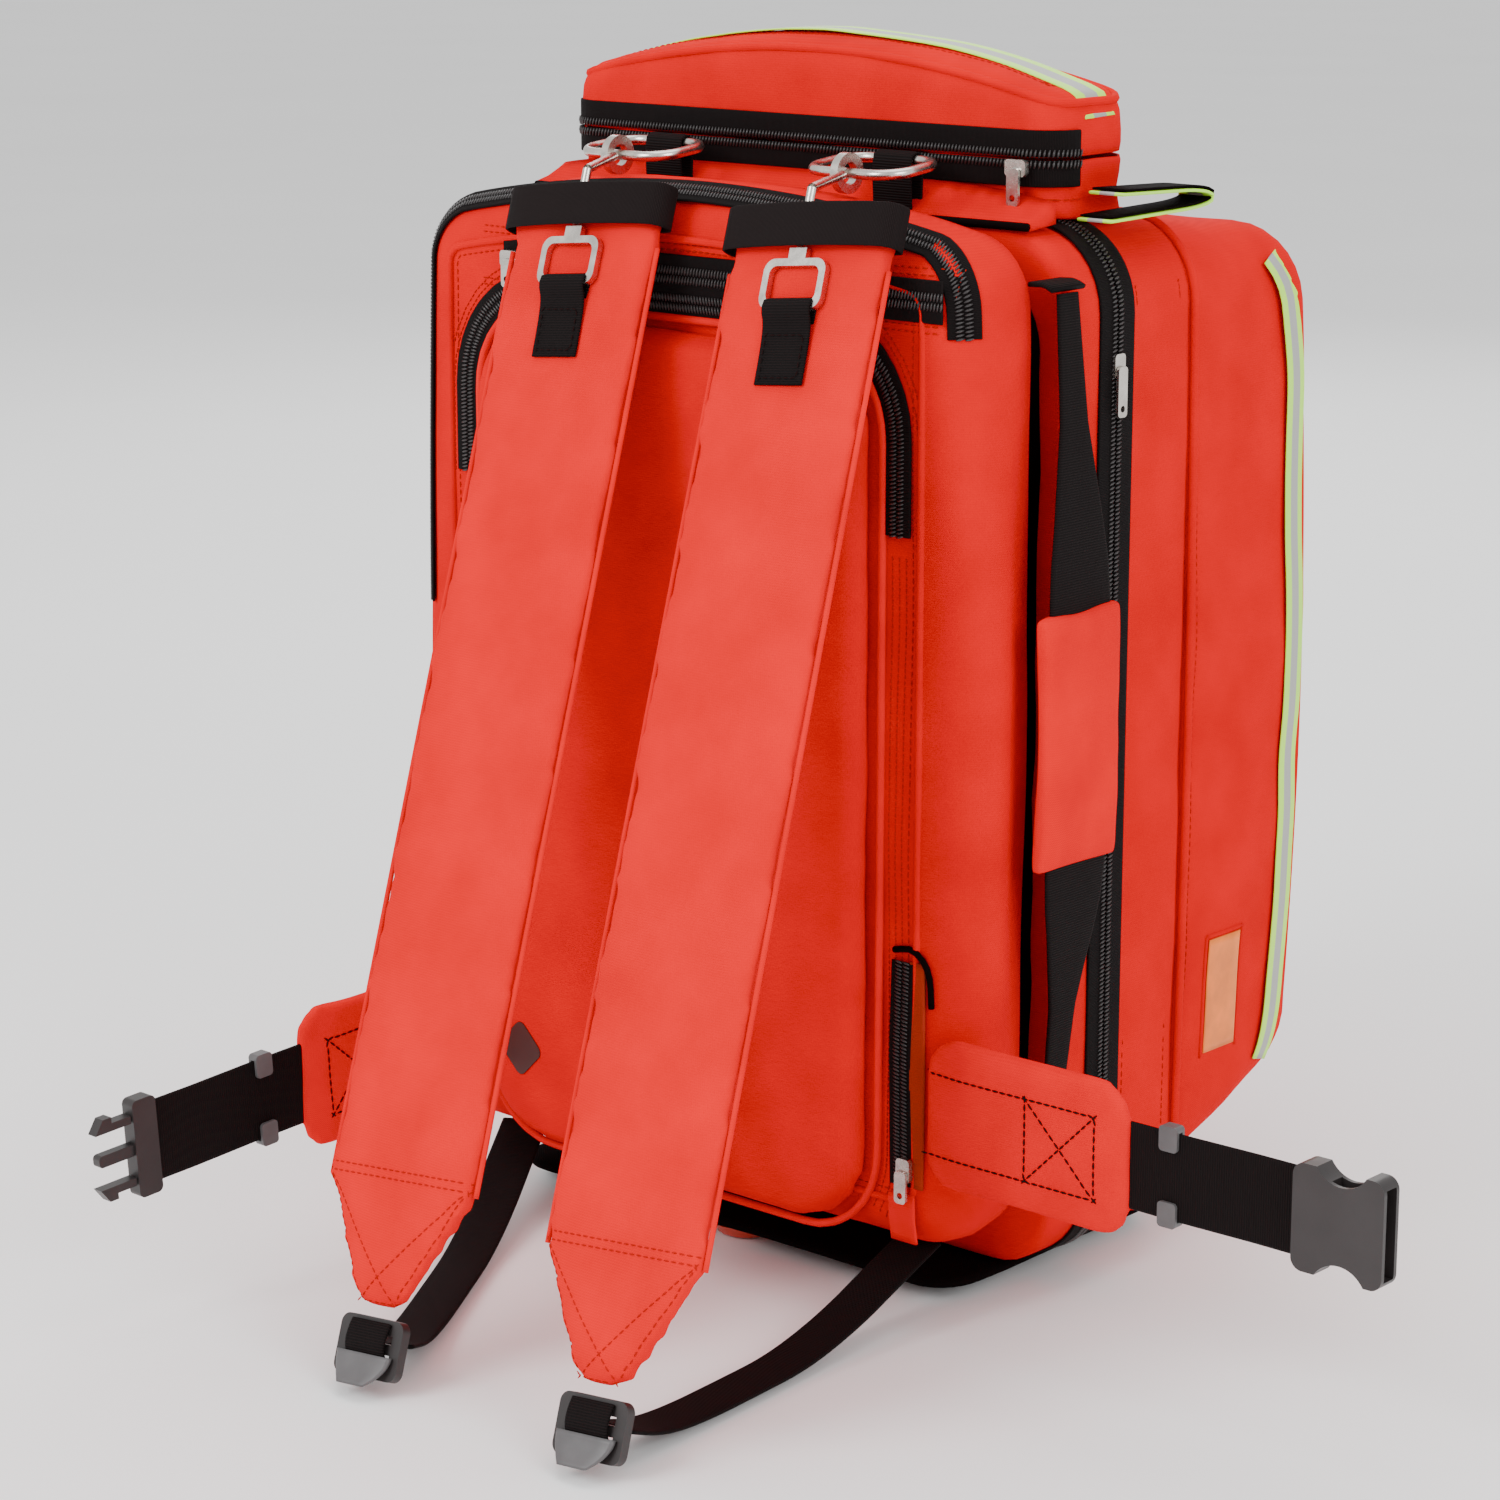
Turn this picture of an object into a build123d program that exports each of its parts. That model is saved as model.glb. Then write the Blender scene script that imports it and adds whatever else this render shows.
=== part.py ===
"""Trauma backpack: a clam-shell rescue rucksack with a rear compartment, a top pocket,
snap-hooked shoulder straps and a hip belt. Millimetres, +Z up.
The harness side faces -Y and the main cover, which carries the front pocket, faces +Y.
Dimensions below are laid out from the bag's middle, with the floor at FLOOR. write() moves
every piece so that the origin lies under the middle foot, on the floor."""
from build123d import *
import math
import os

os.makedirs("parts", exist_ok=True)

# ---- driving dimensions -------------------------------------------------------------
HALF_W = 183            # half width of the main compartment
MAIN_LOW, MAIN_TOP = 25, 535
MAIN_RADIUS = 40        # corner radius of the main compartment, seen from the front
WALL = 4                # padded fabric wall
GAP = 0.3               # clearance between neighbouring bodies

Y_REAR_FACE = -127      # outer face of the rear compartment
Y_REAR_SPLIT = -100     # where its panel meets its gusset
Y_REAR_END = -78
Y_MAIN_BACK = -58
Y_MAIN_RIM = -24        # mouth of the rear half of the main compartment
Y_COVER_RIM = -19       # mouth of the cover
Y_COVER_FACE = 42       # seam between cover and front pocket
Y_POCKET_FACE = 158

REAR_HALF_W = 178
REAR_LOW, REAR_CORNER, REAR_CROWN = 50, 530, 550
REAR_ROUND = 24         # roll of the rear panel's outer edge
REAR_WALL = 3

BACK_HALF_W = 129       # padded back panel
BACK_LOW, BACK_TOP = 52, 485
BACK_THICK = 15
CHAIN_W, CHAIN_T = 8, 2.7   # zipper chain with its tape
EDGE_CHAIN_T, EDGE_CHAIN_LOW = 1.6, 330

TOP_HALF_W = 157        # top pocket
TOP_Y0, TOP_Y1 = -36, 28
TOP_LOW, TOP_SPLIT, TOP_EDGE, TOP_CROWN = 536, 565, 596, 612
TOP_WALL = 3

FLOOR = 11
FOOT_R, FOOT_H = 20, 7
FOOT_TAPER, FOOT_EDGE = 5, 4                # a foot narrows downwards to a rounded edge
MIDDLE_FOOT = (0, -75)
CORNER_FEET = [(-105, -30), (105, -30), (-105, 60), (105, 60)]
BASE_X, BASE_Y0, BASE_Y1, BASE_T = 150, -97, 84, 6

SHEET_X, SHEET_Z = 165, 235                 # half width and half height of the frame sheet
STAY_X, STAY_W, STAY_L = 100, 20, 450
JOIN_X, JOIN_LOW, JOIN_TOP = 168, 60, 514   # gusset that joins the two compartments

STRAP_X, STRAP_Y, STRAP_Z = 71, -141, 529   # heads of the shoulder pads
STRAP_LEAN = 28                             # how far both heads lie towards +X
STRAP_RUN = Vector(50, -200, -484)          # from the head of a pad to its tip
PAD_W, PAD_T, PAD_HEAD = 96, 10, 22
TAPER_L, TIP_W = 58, 28
WEB_T = 2
LOCK_W, LOCK_L, LOCK_T, LOCK_GAP = 40, 28, 5, 2
SLIDER_T = 3
LOWER_WEB_W = 25
LOWER_X, LOWER_Y, LOWER_Z = 135, -100, 46   # where the lower webbing meets the bag

RING_X, RING_Y, RING_Z = 74, -50, 562       # rear bar of a D-ring
RING_W, RING_D, RING_WIRE = 56, 38, 2.5
RING_FALL = 4                               # how much lower the ring's front lies
EYE_R, EYE_WIRE = 7.5, 2.2                  # snap hook
HOOK_LIFT = 8.5                             # hook axis above the pad's middle plane

RIGHT_BELT = (160, -132, 127)               # where each hip wing leaves the bag
LEFT_BELT = (-135, -134, 112)
LEFT_SWING, LEFT_DROOP = 88, 4              # how the left belt lies, in degrees
WING_L, WING_H, WING_T = 124, 77, 8
BELT_WEB_END, BELT_WEB_H = 223, 42
KEEPER_X = 145

BAND_Y, BAND_W = -67, 16                    # side handles
BAND_LOW, BAND_TOP, BAND_X, BAND_BOW = 120, 510, 190, 10
GRIP_LOW, GRIP_TOP, GRIP_W = 240, 365, 62


def write(piece, node):
    """Label a piece and export it, moved so that the middle foot stands over the origin."""
    placed = Pos(-MIDDLE_FOOT[0], -MIDDLE_FOOT[1], -FLOOR) * piece.part
    placed.label = node
    export_step(placed, f"parts/{node}.step")


def facing(y):
    """Plane across the bag at depth y: local x is +X, local y is +Z, normal is -Y."""
    return Plane(origin=(0, y, 0), x_dir=(1, 0, 0), z_dir=(0, -1, 0))


def block(x, y, z, radius=0):
    """A box between two limits on each axis, with its upright edges rounded."""
    with BuildPart() as piece:
        with BuildSketch(Plane.XY.offset(z[0])):
            with Locations(((x[0] + x[1]) / 2, (y[0] + y[1]) / 2)):
                Rectangle(x[1] - x[0], y[1] - y[0])
        extrude(amount=z[1] - z[0])
        if radius:
            fillet(piece.edges().filter_by(Axis.Z), radius)
    return piece


# ---- main compartment, rear half ----------------------------------------------------
def tray(half_w, low, high, radius, y_closed, y_open, wall):
    """A rounded tray, closed at y_closed and open at y_open."""
    with BuildPart() as piece:
        with BuildSketch(facing(y_closed)):
            with Locations((0, (low + high) / 2)):
                RectangleRounded(2 * half_w, high - low, radius)
        extrude(amount=y_closed - y_open)
        inner = y_closed + math.copysign(wall, y_open - y_closed)
        with BuildSketch(facing(inner)):
            with Locations((0, (low + high) / 2)):
                RectangleRounded(2 * (half_w - wall), high - low - 2 * wall, radius - wall)
        extrude(amount=inner - y_open, mode=Mode.SUBTRACT)
    return piece


main_shell = tray(HALF_W, MAIN_LOW, MAIN_TOP, MAIN_RADIUS, Y_MAIN_BACK, Y_MAIN_RIM, WALL)
write(main_shell, "main_shell")

with BuildPart() as main_zip_chain:
    with BuildSketch(facing(Y_MAIN_RIM)):
        with Locations((0, (MAIN_LOW + MAIN_TOP) / 2)):
            RectangleRounded(2 * HALF_W - 1, MAIN_TOP - MAIN_LOW - 1, MAIN_RADIUS)
            RectangleRounded(2 * (HALF_W - CHAIN_W), MAIN_TOP - MAIN_LOW - 2 * CHAIN_W,
                             MAIN_RADIUS - CHAIN_W, mode=Mode.SUBTRACT)
    extrude(amount=-(Y_COVER_RIM - GAP - Y_MAIN_RIM))
write(main_zip_chain, "main_zip_chain")

SHEET_Y = Y_MAIN_BACK + WALL + GAP
SHEET_T, STAY_T = 2.5, 3
with BuildPart() as frame_sheet:
    with BuildSketch(facing(SHEET_Y)):
        with Locations((0, (MAIN_LOW + MAIN_TOP) / 2)):
            RectangleRounded(2 * SHEET_X, 2 * SHEET_Z, 30)
    extrude(amount=-SHEET_T)
write(frame_sheet, "frame_sheet")

STAY_Y = SHEET_Y + SHEET_T
with BuildPart() as frame_stays:
    with BuildSketch(facing(STAY_Y)):
        with Locations((-STAY_X, (MAIN_LOW + MAIN_TOP) / 2), (STAY_X, (MAIN_LOW + MAIN_TOP) / 2)):
            RectangleRounded(STAY_W, STAY_L, 8)
    extrude(amount=-STAY_T)
write(frame_stays, "frame_stays")

with BuildPart() as joining_gusset:
    with BuildSketch(facing(Y_REAR_END)):
        with Locations((0, (JOIN_LOW + JOIN_TOP) / 2)):
            RectangleRounded(2 * JOIN_X, JOIN_TOP - JOIN_LOW, 35)
    extrude(amount=-(Y_MAIN_BACK - Y_REAR_END))
write(joining_gusset, "joining_gusset")

# ---- base and feet ------------------------------------------------------------------
base_panel = block((-BASE_X, BASE_X), (BASE_Y0, BASE_Y1), (FLOOR + FOOT_H, FLOOR + FOOT_H + BASE_T),
                   radius=25)
write(base_panel, "base_panel")

with BuildPart() as feet:
    with Locations([(x, y, FLOOR) for x, y in (MIDDLE_FOOT, *CORNER_FEET)]):
        Cone(FOOT_R - FOOT_TAPER, FOOT_R, FOOT_H, align=(Align.CENTER, Align.CENTER, Align.MIN))
    fillet(feet.edges().filter_by(GeomType.CIRCLE).group_by(Axis.Z)[0], FOOT_EDGE)
write(feet, "feet")

# ---- rear compartment ---------------------------------------------------------------
def rear_outline(y):
    """Upright outline of the rear compartment at depth y, with an arched top."""
    with BuildSketch(facing(y)) as outline:
        with BuildLine():
            Polyline((-REAR_HALF_W, REAR_CORNER), (-REAR_HALF_W, REAR_LOW),
                     (REAR_HALF_W, REAR_LOW), (REAR_HALF_W, REAR_CORNER))
            ThreePointArc((REAR_HALF_W, REAR_CORNER), (0, REAR_CROWN), (-REAR_HALF_W, REAR_CORNER))
        make_face()
        fillet(outline.vertices(), 34)
    return outline.sketch


with BuildPart() as rear_panel:
    extrude(rear_outline(Y_REAR_FACE), amount=-(Y_REAR_SPLIT - Y_REAR_FACE))
    fillet(rear_panel.faces().sort_by(Axis.Y)[0].edges(), REAR_ROUND)
    offset(amount=-REAR_WALL, openings=rear_panel.faces().sort_by(Axis.Y)[-1])
write(rear_panel, "rear_panel")

with BuildPart() as rear_gusset:
    extrude(rear_outline(Y_REAR_SPLIT), amount=-(Y_REAR_END - Y_REAR_SPLIT))
    offset(amount=-REAR_WALL, openings=rear_gusset.faces().sort_by(Axis.Y)[0])
write(rear_gusset, "rear_gusset")

BACK_MID = (BACK_LOW + BACK_TOP) / 2
BACK_RADIUS = 45
with BuildPart() as back_pad:
    with BuildSketch(facing(Y_REAR_FACE - BACK_THICK)):
        with Locations((0, BACK_MID)):
            RectangleRounded(2 * BACK_HALF_W, BACK_TOP - BACK_LOW, BACK_RADIUS)
    extrude(amount=-(BACK_THICK - GAP))
    fillet(back_pad.faces().sort_by(Axis.Y)[0].edges(), 11)
write(back_pad, "back_pad")

Y_CHAIN = Y_REAR_FACE - CHAIN_T
ARC_GAP = 2             # between the back panel and the zipper that arcs over it
ARC_LOW = 400           # where that arc ends
FAR = 600               # wider than the bag, for cutting
with BuildPart() as rear_zip_chains:
    with BuildSketch(facing(Y_CHAIN)):
        with Locations((0, BACK_MID)):
            RectangleRounded(2 * (BACK_HALF_W + ARC_GAP + CHAIN_W),
                             2 * (BACK_TOP - BACK_MID + ARC_GAP + CHAIN_W), BACK_RADIUS + CHAIN_W)
            RectangleRounded(2 * (BACK_HALF_W + ARC_GAP), 2 * (BACK_TOP - BACK_MID + ARC_GAP),
                             BACK_RADIUS, mode=Mode.SUBTRACT)
        Rectangle(FAR, 2 * ARC_LOW, mode=Mode.SUBTRACT)
        with Locations((26, 508)):
            RectangleRounded(278, 10, 4)
        with Locations((150, 140)):
            RectangleRounded(CHAIN_W, 110, 3)
    extrude(amount=-(CHAIN_T - GAP))
    # The rear compartment's own zipper lies over its top edge and down its sides.
    with BuildSketch(facing(Y_REAR_SPLIT - CHAIN_W / 2)):
        offset(rear_outline(Y_REAR_SPLIT - CHAIN_W / 2), amount=EDGE_CHAIN_T)
        add(rear_outline(Y_REAR_SPLIT - CHAIN_W / 2), mode=Mode.SUBTRACT)
        Rectangle(FAR, 2 * EDGE_CHAIN_LOW, mode=Mode.SUBTRACT)
    extrude(amount=-CHAIN_W)
write(rear_zip_chains, "rear_zip_chains")

with BuildPart() as patch:
    with BuildSketch(facing(Y_REAR_FACE - BACK_THICK - 1.5)):
        with Locations(Location((-95, 105), 45)):
            RectangleRounded(22, 22, 4)
    extrude(amount=-1.2)
write(patch, "patch")

# ---- top pocket ---------------------------------------------------------------------
TOP_MID_Y = (TOP_Y0 + TOP_Y1) / 2
TOP_DEPTH = TOP_Y1 - TOP_Y0
with BuildPart() as top_tub:
    with BuildSketch(Plane.XY.offset(TOP_LOW)):
        with Locations((0, TOP_MID_Y)):
            RectangleRounded(2 * TOP_HALF_W, TOP_DEPTH, 18)
    extrude(amount=TOP_SPLIT - GAP - TOP_LOW)
    offset(amount=-TOP_WALL, openings=top_tub.faces().sort_by(Axis.Z)[-1])
write(top_tub, "top_tub")

with BuildPart() as top_lid:
    with BuildSketch(facing(TOP_Y0)) as outline:
        with BuildLine():
            Polyline((-TOP_HALF_W, TOP_EDGE), (-TOP_HALF_W, TOP_SPLIT),
                     (TOP_HALF_W, TOP_SPLIT), (TOP_HALF_W, TOP_EDGE))
            ThreePointArc((TOP_HALF_W, TOP_EDGE), (0, TOP_CROWN), (-TOP_HALF_W, TOP_EDGE))
        make_face()
    extrude(amount=-TOP_DEPTH)
    fillet(top_lid.edges().filter_by(Axis.Z), 18)
    fillet(top_lid.faces().sort_by(Axis.Z)[-1].edges(), 12)
    offset(amount=-TOP_WALL, openings=top_lid.faces().sort_by(Axis.Z)[0])
write(top_lid, "top_lid")

with BuildPart() as top_zip_chain:
    with BuildSketch(Plane.XY.offset(TOP_SPLIT - GAP - 7)):
        with Locations((0, TOP_MID_Y)):
            RectangleRounded(2 * (TOP_HALF_W + CHAIN_T), TOP_DEPTH + 2 * CHAIN_T, 18 + CHAIN_T)
            RectangleRounded(2 * TOP_HALF_W, TOP_DEPTH, 18, mode=Mode.SUBTRACT)
        with Locations((0, TOP_Y1)):
            Rectangle(FAR, 40, mode=Mode.SUBTRACT)
    extrude(amount=7)
write(top_zip_chain, "top_zip_chain")

# ---- main cover with front pocket ---------------------------------------------------
cover_gusset = tray(HALF_W, MAIN_LOW + 1, MAIN_TOP, MAIN_RADIUS, Y_COVER_FACE, Y_COVER_RIM, WALL)
write(cover_gusset, "cover_gusset")

POCKET_BACK = (178, 32, 530)    # half width, low, high where the front pocket meets the cover
POCKET_FRONT = (174, 78, 522)   # and at its face


POCKET_ROLL = 22                # roll of the front pocket's face edge
POCKET_INSET, POCKET_SKIN = 12, 6   # keep the hollow inside that roll


def pocket_section(y, half_w, low, high, inset=0):
    with BuildSketch(facing(y)) as section:
        with Locations((0, (low + high) / 2)):
            RectangleRounded(2 * (half_w - inset), high - low - 2 * inset, 38 - inset)
    return section.sketch


with BuildPart() as front_pocket:
    loft([pocket_section(Y_COVER_FACE, *POCKET_BACK),
          pocket_section(Y_POCKET_FACE, *POCKET_FRONT)])
    fillet(front_pocket.faces().sort_by(Axis.Y)[-1].edges(), POCKET_ROLL)
    loft([pocket_section(Y_COVER_FACE, *POCKET_BACK, WALL),
          pocket_section(Y_POCKET_FACE - POCKET_SKIN, *POCKET_FRONT, POCKET_INSET)],
         mode=Mode.SUBTRACT)
write(front_pocket, "front_pocket")

SIDE_SLOPE = Vector(POCKET_FRONT[0] - POCKET_BACK[0], Y_POCKET_FACE - Y_COVER_FACE, 0).normalized()


def pocket_side(side, depth, height):
    """Plane lying on a side face of the front pocket; local x runs forwards, local y up."""
    along = (depth - Y_COVER_FACE) / (Y_POCKET_FACE - Y_COVER_FACE)
    x = POCKET_BACK[0] + along * (POCKET_FRONT[0] - POCKET_BACK[0])
    return Plane(origin=(side * x, depth, height), x_dir=(side * SIDE_SLOPE.X, SIDE_SLOPE.Y, 0),
                 z_dir=(SIDE_SLOPE.Y * side, -SIDE_SLOPE.X, 0))


with BuildPart() as label_window:
    with BuildSketch(pocket_side(1, 82, 140)):
        RectangleRounded(28, 60, 2)
    extrude(amount=1.2)
write(label_window, "label_window")

with BuildPart() as pocket_tapes:
    for side in (-1, 1):
        with BuildSketch(pocket_side(side, 126, 297)):
            Rectangle(12, 300)
        extrude(amount=1)
write(pocket_tapes, "pocket_tapes")

# ---- reflective tab over the top of the main zipper ---------------------------------
reflective_tab = block((162, 183), (-25, 60), (MAIN_TOP + 1.3, MAIN_TOP + 4.3), radius=4)
write(reflective_tab, "reflective_tab")

# ---- side handles -------------------------------------------------------------------
GRIP_T = 9
for side, name in ((-1, "left"), (1, "right")):
    with BuildPart() as handle_band:
        with BuildSketch(facing(BAND_Y)):
            with BuildLine() as route:
                Polyline((side * BAND_X, BAND_LOW), (side * (BAND_X + BAND_BOW), GRIP_LOW - 10),
                         (side * (BAND_X + BAND_BOW), GRIP_TOP + 10), (side * BAND_X, BAND_TOP))
            trace(route.line, WEB_T)
        extrude(amount=BAND_W / 2, both=True)
    write(handle_band, f"handle_band_{name}")

    grip_x = side * (BAND_X + BAND_BOW)
    with BuildPart() as handle_grip:
        with BuildSketch(Plane.XY.offset(GRIP_LOW)):
            with Locations((grip_x, BAND_Y)):
                RectangleRounded(GRIP_T, GRIP_W, 4)
                Rectangle(WEB_T + 2 * GAP, BAND_W + 2 * GAP, mode=Mode.SUBTRACT)
        extrude(amount=GRIP_TOP - GRIP_LOW)
    write(handle_grip, f"handle_grip_{name}")

with BuildPart() as band_anchors:
    for z in (BAND_LOW - 8, BAND_TOP + 1):
        with BuildSketch(Plane.XY.offset(z)):
            with Locations((3 - HALF_W, BAND_Y), (HALF_W - 3, BAND_Y)):
                Rectangle(24, 14)
        extrude(amount=7)
write(band_anchors, "band_anchors")

# ---- D-rings ------------------------------------------------------------------------
RING_TILT = math.asin(RING_FALL / RING_D)
for side, name in ((-1, "left"), (1, "right")):
    ring_plane = Plane(origin=(side * RING_X, RING_Y, RING_Z), x_dir=(1, 0, 0),
                       z_dir=(0, math.sin(RING_TILT), -math.cos(RING_TILT)))
    with BuildSketch(ring_plane) as ring_outline:
        with Locations((0, RING_D / 2)):
            RectangleRounded(RING_W, RING_D, 14)
    loop = ring_outline.sketch.face().outer_wire()
    with BuildPart() as d_ring:
        with BuildSketch(Plane(origin=loop @ 0, z_dir=loop % 0)):
            Circle(RING_WIRE)
        sweep(path=loop)
    write(d_ring, f"d_ring_{name}")

with BuildPart() as ring_anchors:
    for side in (-1, 1):
        with BuildSketch(Plane.YZ.offset(side * RING_X)):
            with Locations((RING_Y, RING_Z)):
                Circle(RING_WIRE + 2.5)
            with Locations((RING_Y, (RING_Z + MAIN_TOP) / 2)):
                Rectangle(8, RING_Z - MAIN_TOP)
            with Locations((RING_Y, RING_Z)):
                Circle(RING_WIRE + GAP, mode=Mode.SUBTRACT)
        extrude(amount=11, both=True)
write(ring_anchors, "ring_anchors")

# ---- shoulder straps ----------------------------------------------------------------
DOWN = STRAP_RUN.normalized()
ACROSS = (Vector(1, 0, 0) - DOWN * DOWN.X).normalized()
OUTWARD = DOWN.cross(ACROSS)
PAD_L = STRAP_RUN.length


def strap_plane(side, lift=0):
    """Middle plane of a pad, with its origin at the pad's head: local y runs up the pad."""
    head = Vector(STRAP_LEAN + side * STRAP_X, STRAP_Y, STRAP_Z)
    return Plane(origin=head + OUTWARD * lift, x_dir=ACROSS, z_dir=OUTWARD)


for side, name in ((-1, "left"), (1, "right")):
    with BuildPart() as strap_pad:
        with BuildSketch(strap_plane(side)) as outline:
            with BuildLine():
                Polyline((-PAD_W / 2, PAD_HEAD), (PAD_W / 2, PAD_HEAD),
                         (PAD_W / 2, TAPER_L - PAD_L), (TIP_W / 2, -PAD_L), (-TIP_W / 2, -PAD_L),
                         (-PAD_W / 2, TAPER_L - PAD_L), close=True)
            make_face()
            fillet(outline.vertices().group_by(Axis.Z)[-1], 16)
        extrude(amount=PAD_T / 2, both=True)
    write(strap_pad, f"strap_pad_{name}")

    with BuildPart() as elastic_band:
        with BuildSketch(strap_plane(side)) as outline:
            with Locations((0, 8)):
                Rectangle(PAD_W + 5, 18)
        extrude(amount=12.5)
        extrude(outline.sketch, amount=-6.2)
        with BuildSketch(strap_plane(side)) as hollow:
            with Locations((0, 8)):
                Rectangle(PAD_W + 1, 18)
        extrude(hollow.sketch, amount=11.3, mode=Mode.SUBTRACT)
        extrude(hollow.sketch, amount=-5.2, mode=Mode.SUBTRACT)
    write(elastic_band, f"elastic_band_{name}")

    # The hook runs from an eye round the D-ring's front wire to a swivel on the pad.
    ring_front = Vector(side * RING_X, RING_Y - RING_D * math.cos(RING_TILT), RING_Z - RING_FALL)
    swivel_plane = strap_plane(side, HOOK_LIFT)
    neck_low = swivel_plane.from_local_coords(Vector(0, -2, 0))
    neck_bend = swivel_plane.from_local_coords(Vector(0, 26, 0))
    neck_top = ring_front + (neck_bend - ring_front).normalized() * EYE_R
    with BuildPart() as snap_hook:
        with BuildLine() as neck:
            Polyline(neck_low, neck_bend, neck_top)
        with BuildSketch(Plane(origin=neck_low, z_dir=neck.line % 0)):
            Circle(EYE_WIRE)
        sweep(transition=Transition.ROUND)
        with BuildSketch(Plane.YZ.offset(side * RING_X)):
            with Locations((ring_front.Y, ring_front.Z)):
                Circle(EYE_R + EYE_WIRE)
                Circle(EYE_R - EYE_WIRE, mode=Mode.SUBTRACT)
        extrude(amount=EYE_WIRE, both=True)
    write(snap_hook, f"snap_hook_{name}")

    with BuildPart() as swivel_loop:
        with BuildSketch(strap_plane(side, HOOK_LIFT)):
            with Locations((0, -20)):
                RectangleRounded(36, 24, 6)
                RectangleRounded(29, 17, 4, mode=Mode.SUBTRACT)
            with Locations((0, -6)):
                Rectangle(10, 6)
        extrude(amount=1.8, both=True)
    write(swivel_loop, f"swivel_loop_{name}")

    with BuildPart() as sewn_tab:
        with BuildSketch(strap_plane(side, PAD_T / 2)):
            with Locations((0, -44)):
                Rectangle(28, 44)
        extrude(amount=1.2)
    write(sewn_tab, f"sewn_tab_{name}")

    with BuildPart() as ladder_lock:
        with BuildSketch(strap_plane(side)) as outline:
            with Locations((0, -PAD_L - LOCK_GAP - LOCK_L / 2)):
                RectangleRounded(LOCK_W, LOCK_L, 5)
            with Locations((0, -PAD_L - LOCK_GAP - 9), (0, -PAD_L - LOCK_GAP - 18)):
                Rectangle(LOCK_W - 12, 4, mode=Mode.SUBTRACT)
        extrude(amount=LOCK_T / 2, both=True)
    write(ladder_lock, f"ladder_lock_{name}")

    # The lower webbing runs back from the lock, sags to the floor and rises to the bag.
    lock_back = strap_plane(side, -LOCK_T / 2 - 8).from_local_coords(Vector(0, -PAD_L - 14, 0))
    anchor = Vector(side * LOWER_X, LOWER_Y, LOWER_Z)
    level = Vector(anchor.X - lock_back.X, anchor.Y - lock_back.Y, 0)
    span = level.length
    web_plane = Plane(origin=(lock_back.X, lock_back.Y, 0), x_dir=level.normalized(),
                      z_dir=level.normalized().cross(Vector(0, 0, 1)))
    with BuildPart() as lower_web:
        with BuildSketch(web_plane):
            with BuildLine() as route:
                FilletPolyline((0, lock_back.Z), (0.25 * span, FLOOR + 5), (0.55 * span, FLOOR + 5),
                               (span, anchor.Z), radius=30)
            trace(route.line, WEB_T)
        extrude(amount=LOWER_WEB_W / 2, both=True)
    write(lower_web, f"lower_web_{name}")

# ---- hip belt -----------------------------------------------------------------------
swing, droop = math.radians(LEFT_SWING), math.radians(LEFT_DROOP)
BELT_PLANES = {
    "right": Plane(origin=RIGHT_BELT, x_dir=(1, 0, 0), z_dir=(0, -1, 0)),
    "left": Plane(origin=LEFT_BELT,
                  x_dir=(-math.cos(swing) * math.cos(droop), -math.sin(swing) * math.cos(droop),
                         -math.sin(droop)),
                  z_dir=(-math.sin(swing), math.cos(swing), 0)),
}
for name, belt_plane in BELT_PLANES.items():
    with BuildPart() as hip_wing:
        with BuildSketch(belt_plane) as outline:
            with Locations(((WING_L + 4) / 2, 0)):
                Rectangle(WING_L - 4, WING_H)
            fillet(outline.vertices(), 20)
        extrude(amount=WING_T / 2, both=True)
    write(hip_wing, f"hip_wing_{name}")

    with BuildPart() as belt_web:
        with BuildSketch(belt_plane):
            with Locations(((WING_L + GAP + BELT_WEB_END) / 2, 0)):
                Rectangle(BELT_WEB_END - WING_L - GAP, BELT_WEB_H)
        extrude(amount=WEB_T / 2, both=True)
    write(belt_web, f"belt_web_{name}")

    with BuildPart() as keeper:
        with BuildSketch(belt_plane):
            with Locations((KEEPER_X, BELT_WEB_H / 2 - 3), (KEEPER_X, 3 - BELT_WEB_H / 2)):
                RectangleRounded(10, 12, 2)
        extrude(amount=3, both=True)
        with BuildSketch(belt_plane):
            with Locations((KEEPER_X, 0)):
                Rectangle(12, BELT_WEB_H + 2 * GAP)
        extrude(amount=WEB_T / 2 + GAP, both=True, mode=Mode.SUBTRACT)
    write(keeper, f"keeper_{name}")

# ---- side-release buckle ------------------------------------------------------------
BUCKLE_X, BUCKLE_H = 214, 50
TAIL_SLOT = 10


def tail_slot(belt_plane):
    """Profile of the slot that the belt webbing enters."""
    with BuildSketch(belt_plane) as slot:
        with Locations((BUCKLE_X + TAIL_SLOT / 2, 0)):
            Rectangle(TAIL_SLOT, BELT_WEB_H + 2 * GAP)
    return slot.sketch


with BuildPart() as buckle_female:
    with BuildSketch(BELT_PLANES["right"]):
        with Locations((BUCKLE_X + 23.5, 0)):
            RectangleRounded(47, BUCKLE_H, 6)
    extrude(amount=6, both=True)
    with BuildSketch(BELT_PLANES["right"]):
        with Locations((BUCKLE_X + 33, 0)):
            Rectangle(28, 42)
    extrude(amount=3.8, both=True, mode=Mode.SUBTRACT)
    # Hollows in both sides let fingers press the prongs.
    with BuildSketch(BELT_PLANES["right"]):
        with Locations((BUCKLE_X + 25, -BUCKLE_H / 2 - 8), (BUCKLE_X + 25, BUCKLE_H / 2 + 8)):
            Circle(15)
    extrude(amount=6, both=True, mode=Mode.SUBTRACT)
    extrude(tail_slot(BELT_PLANES["right"]), amount=WEB_T / 2 + GAP, both=True, mode=Mode.SUBTRACT)
write(buckle_female, "buckle_female")

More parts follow.
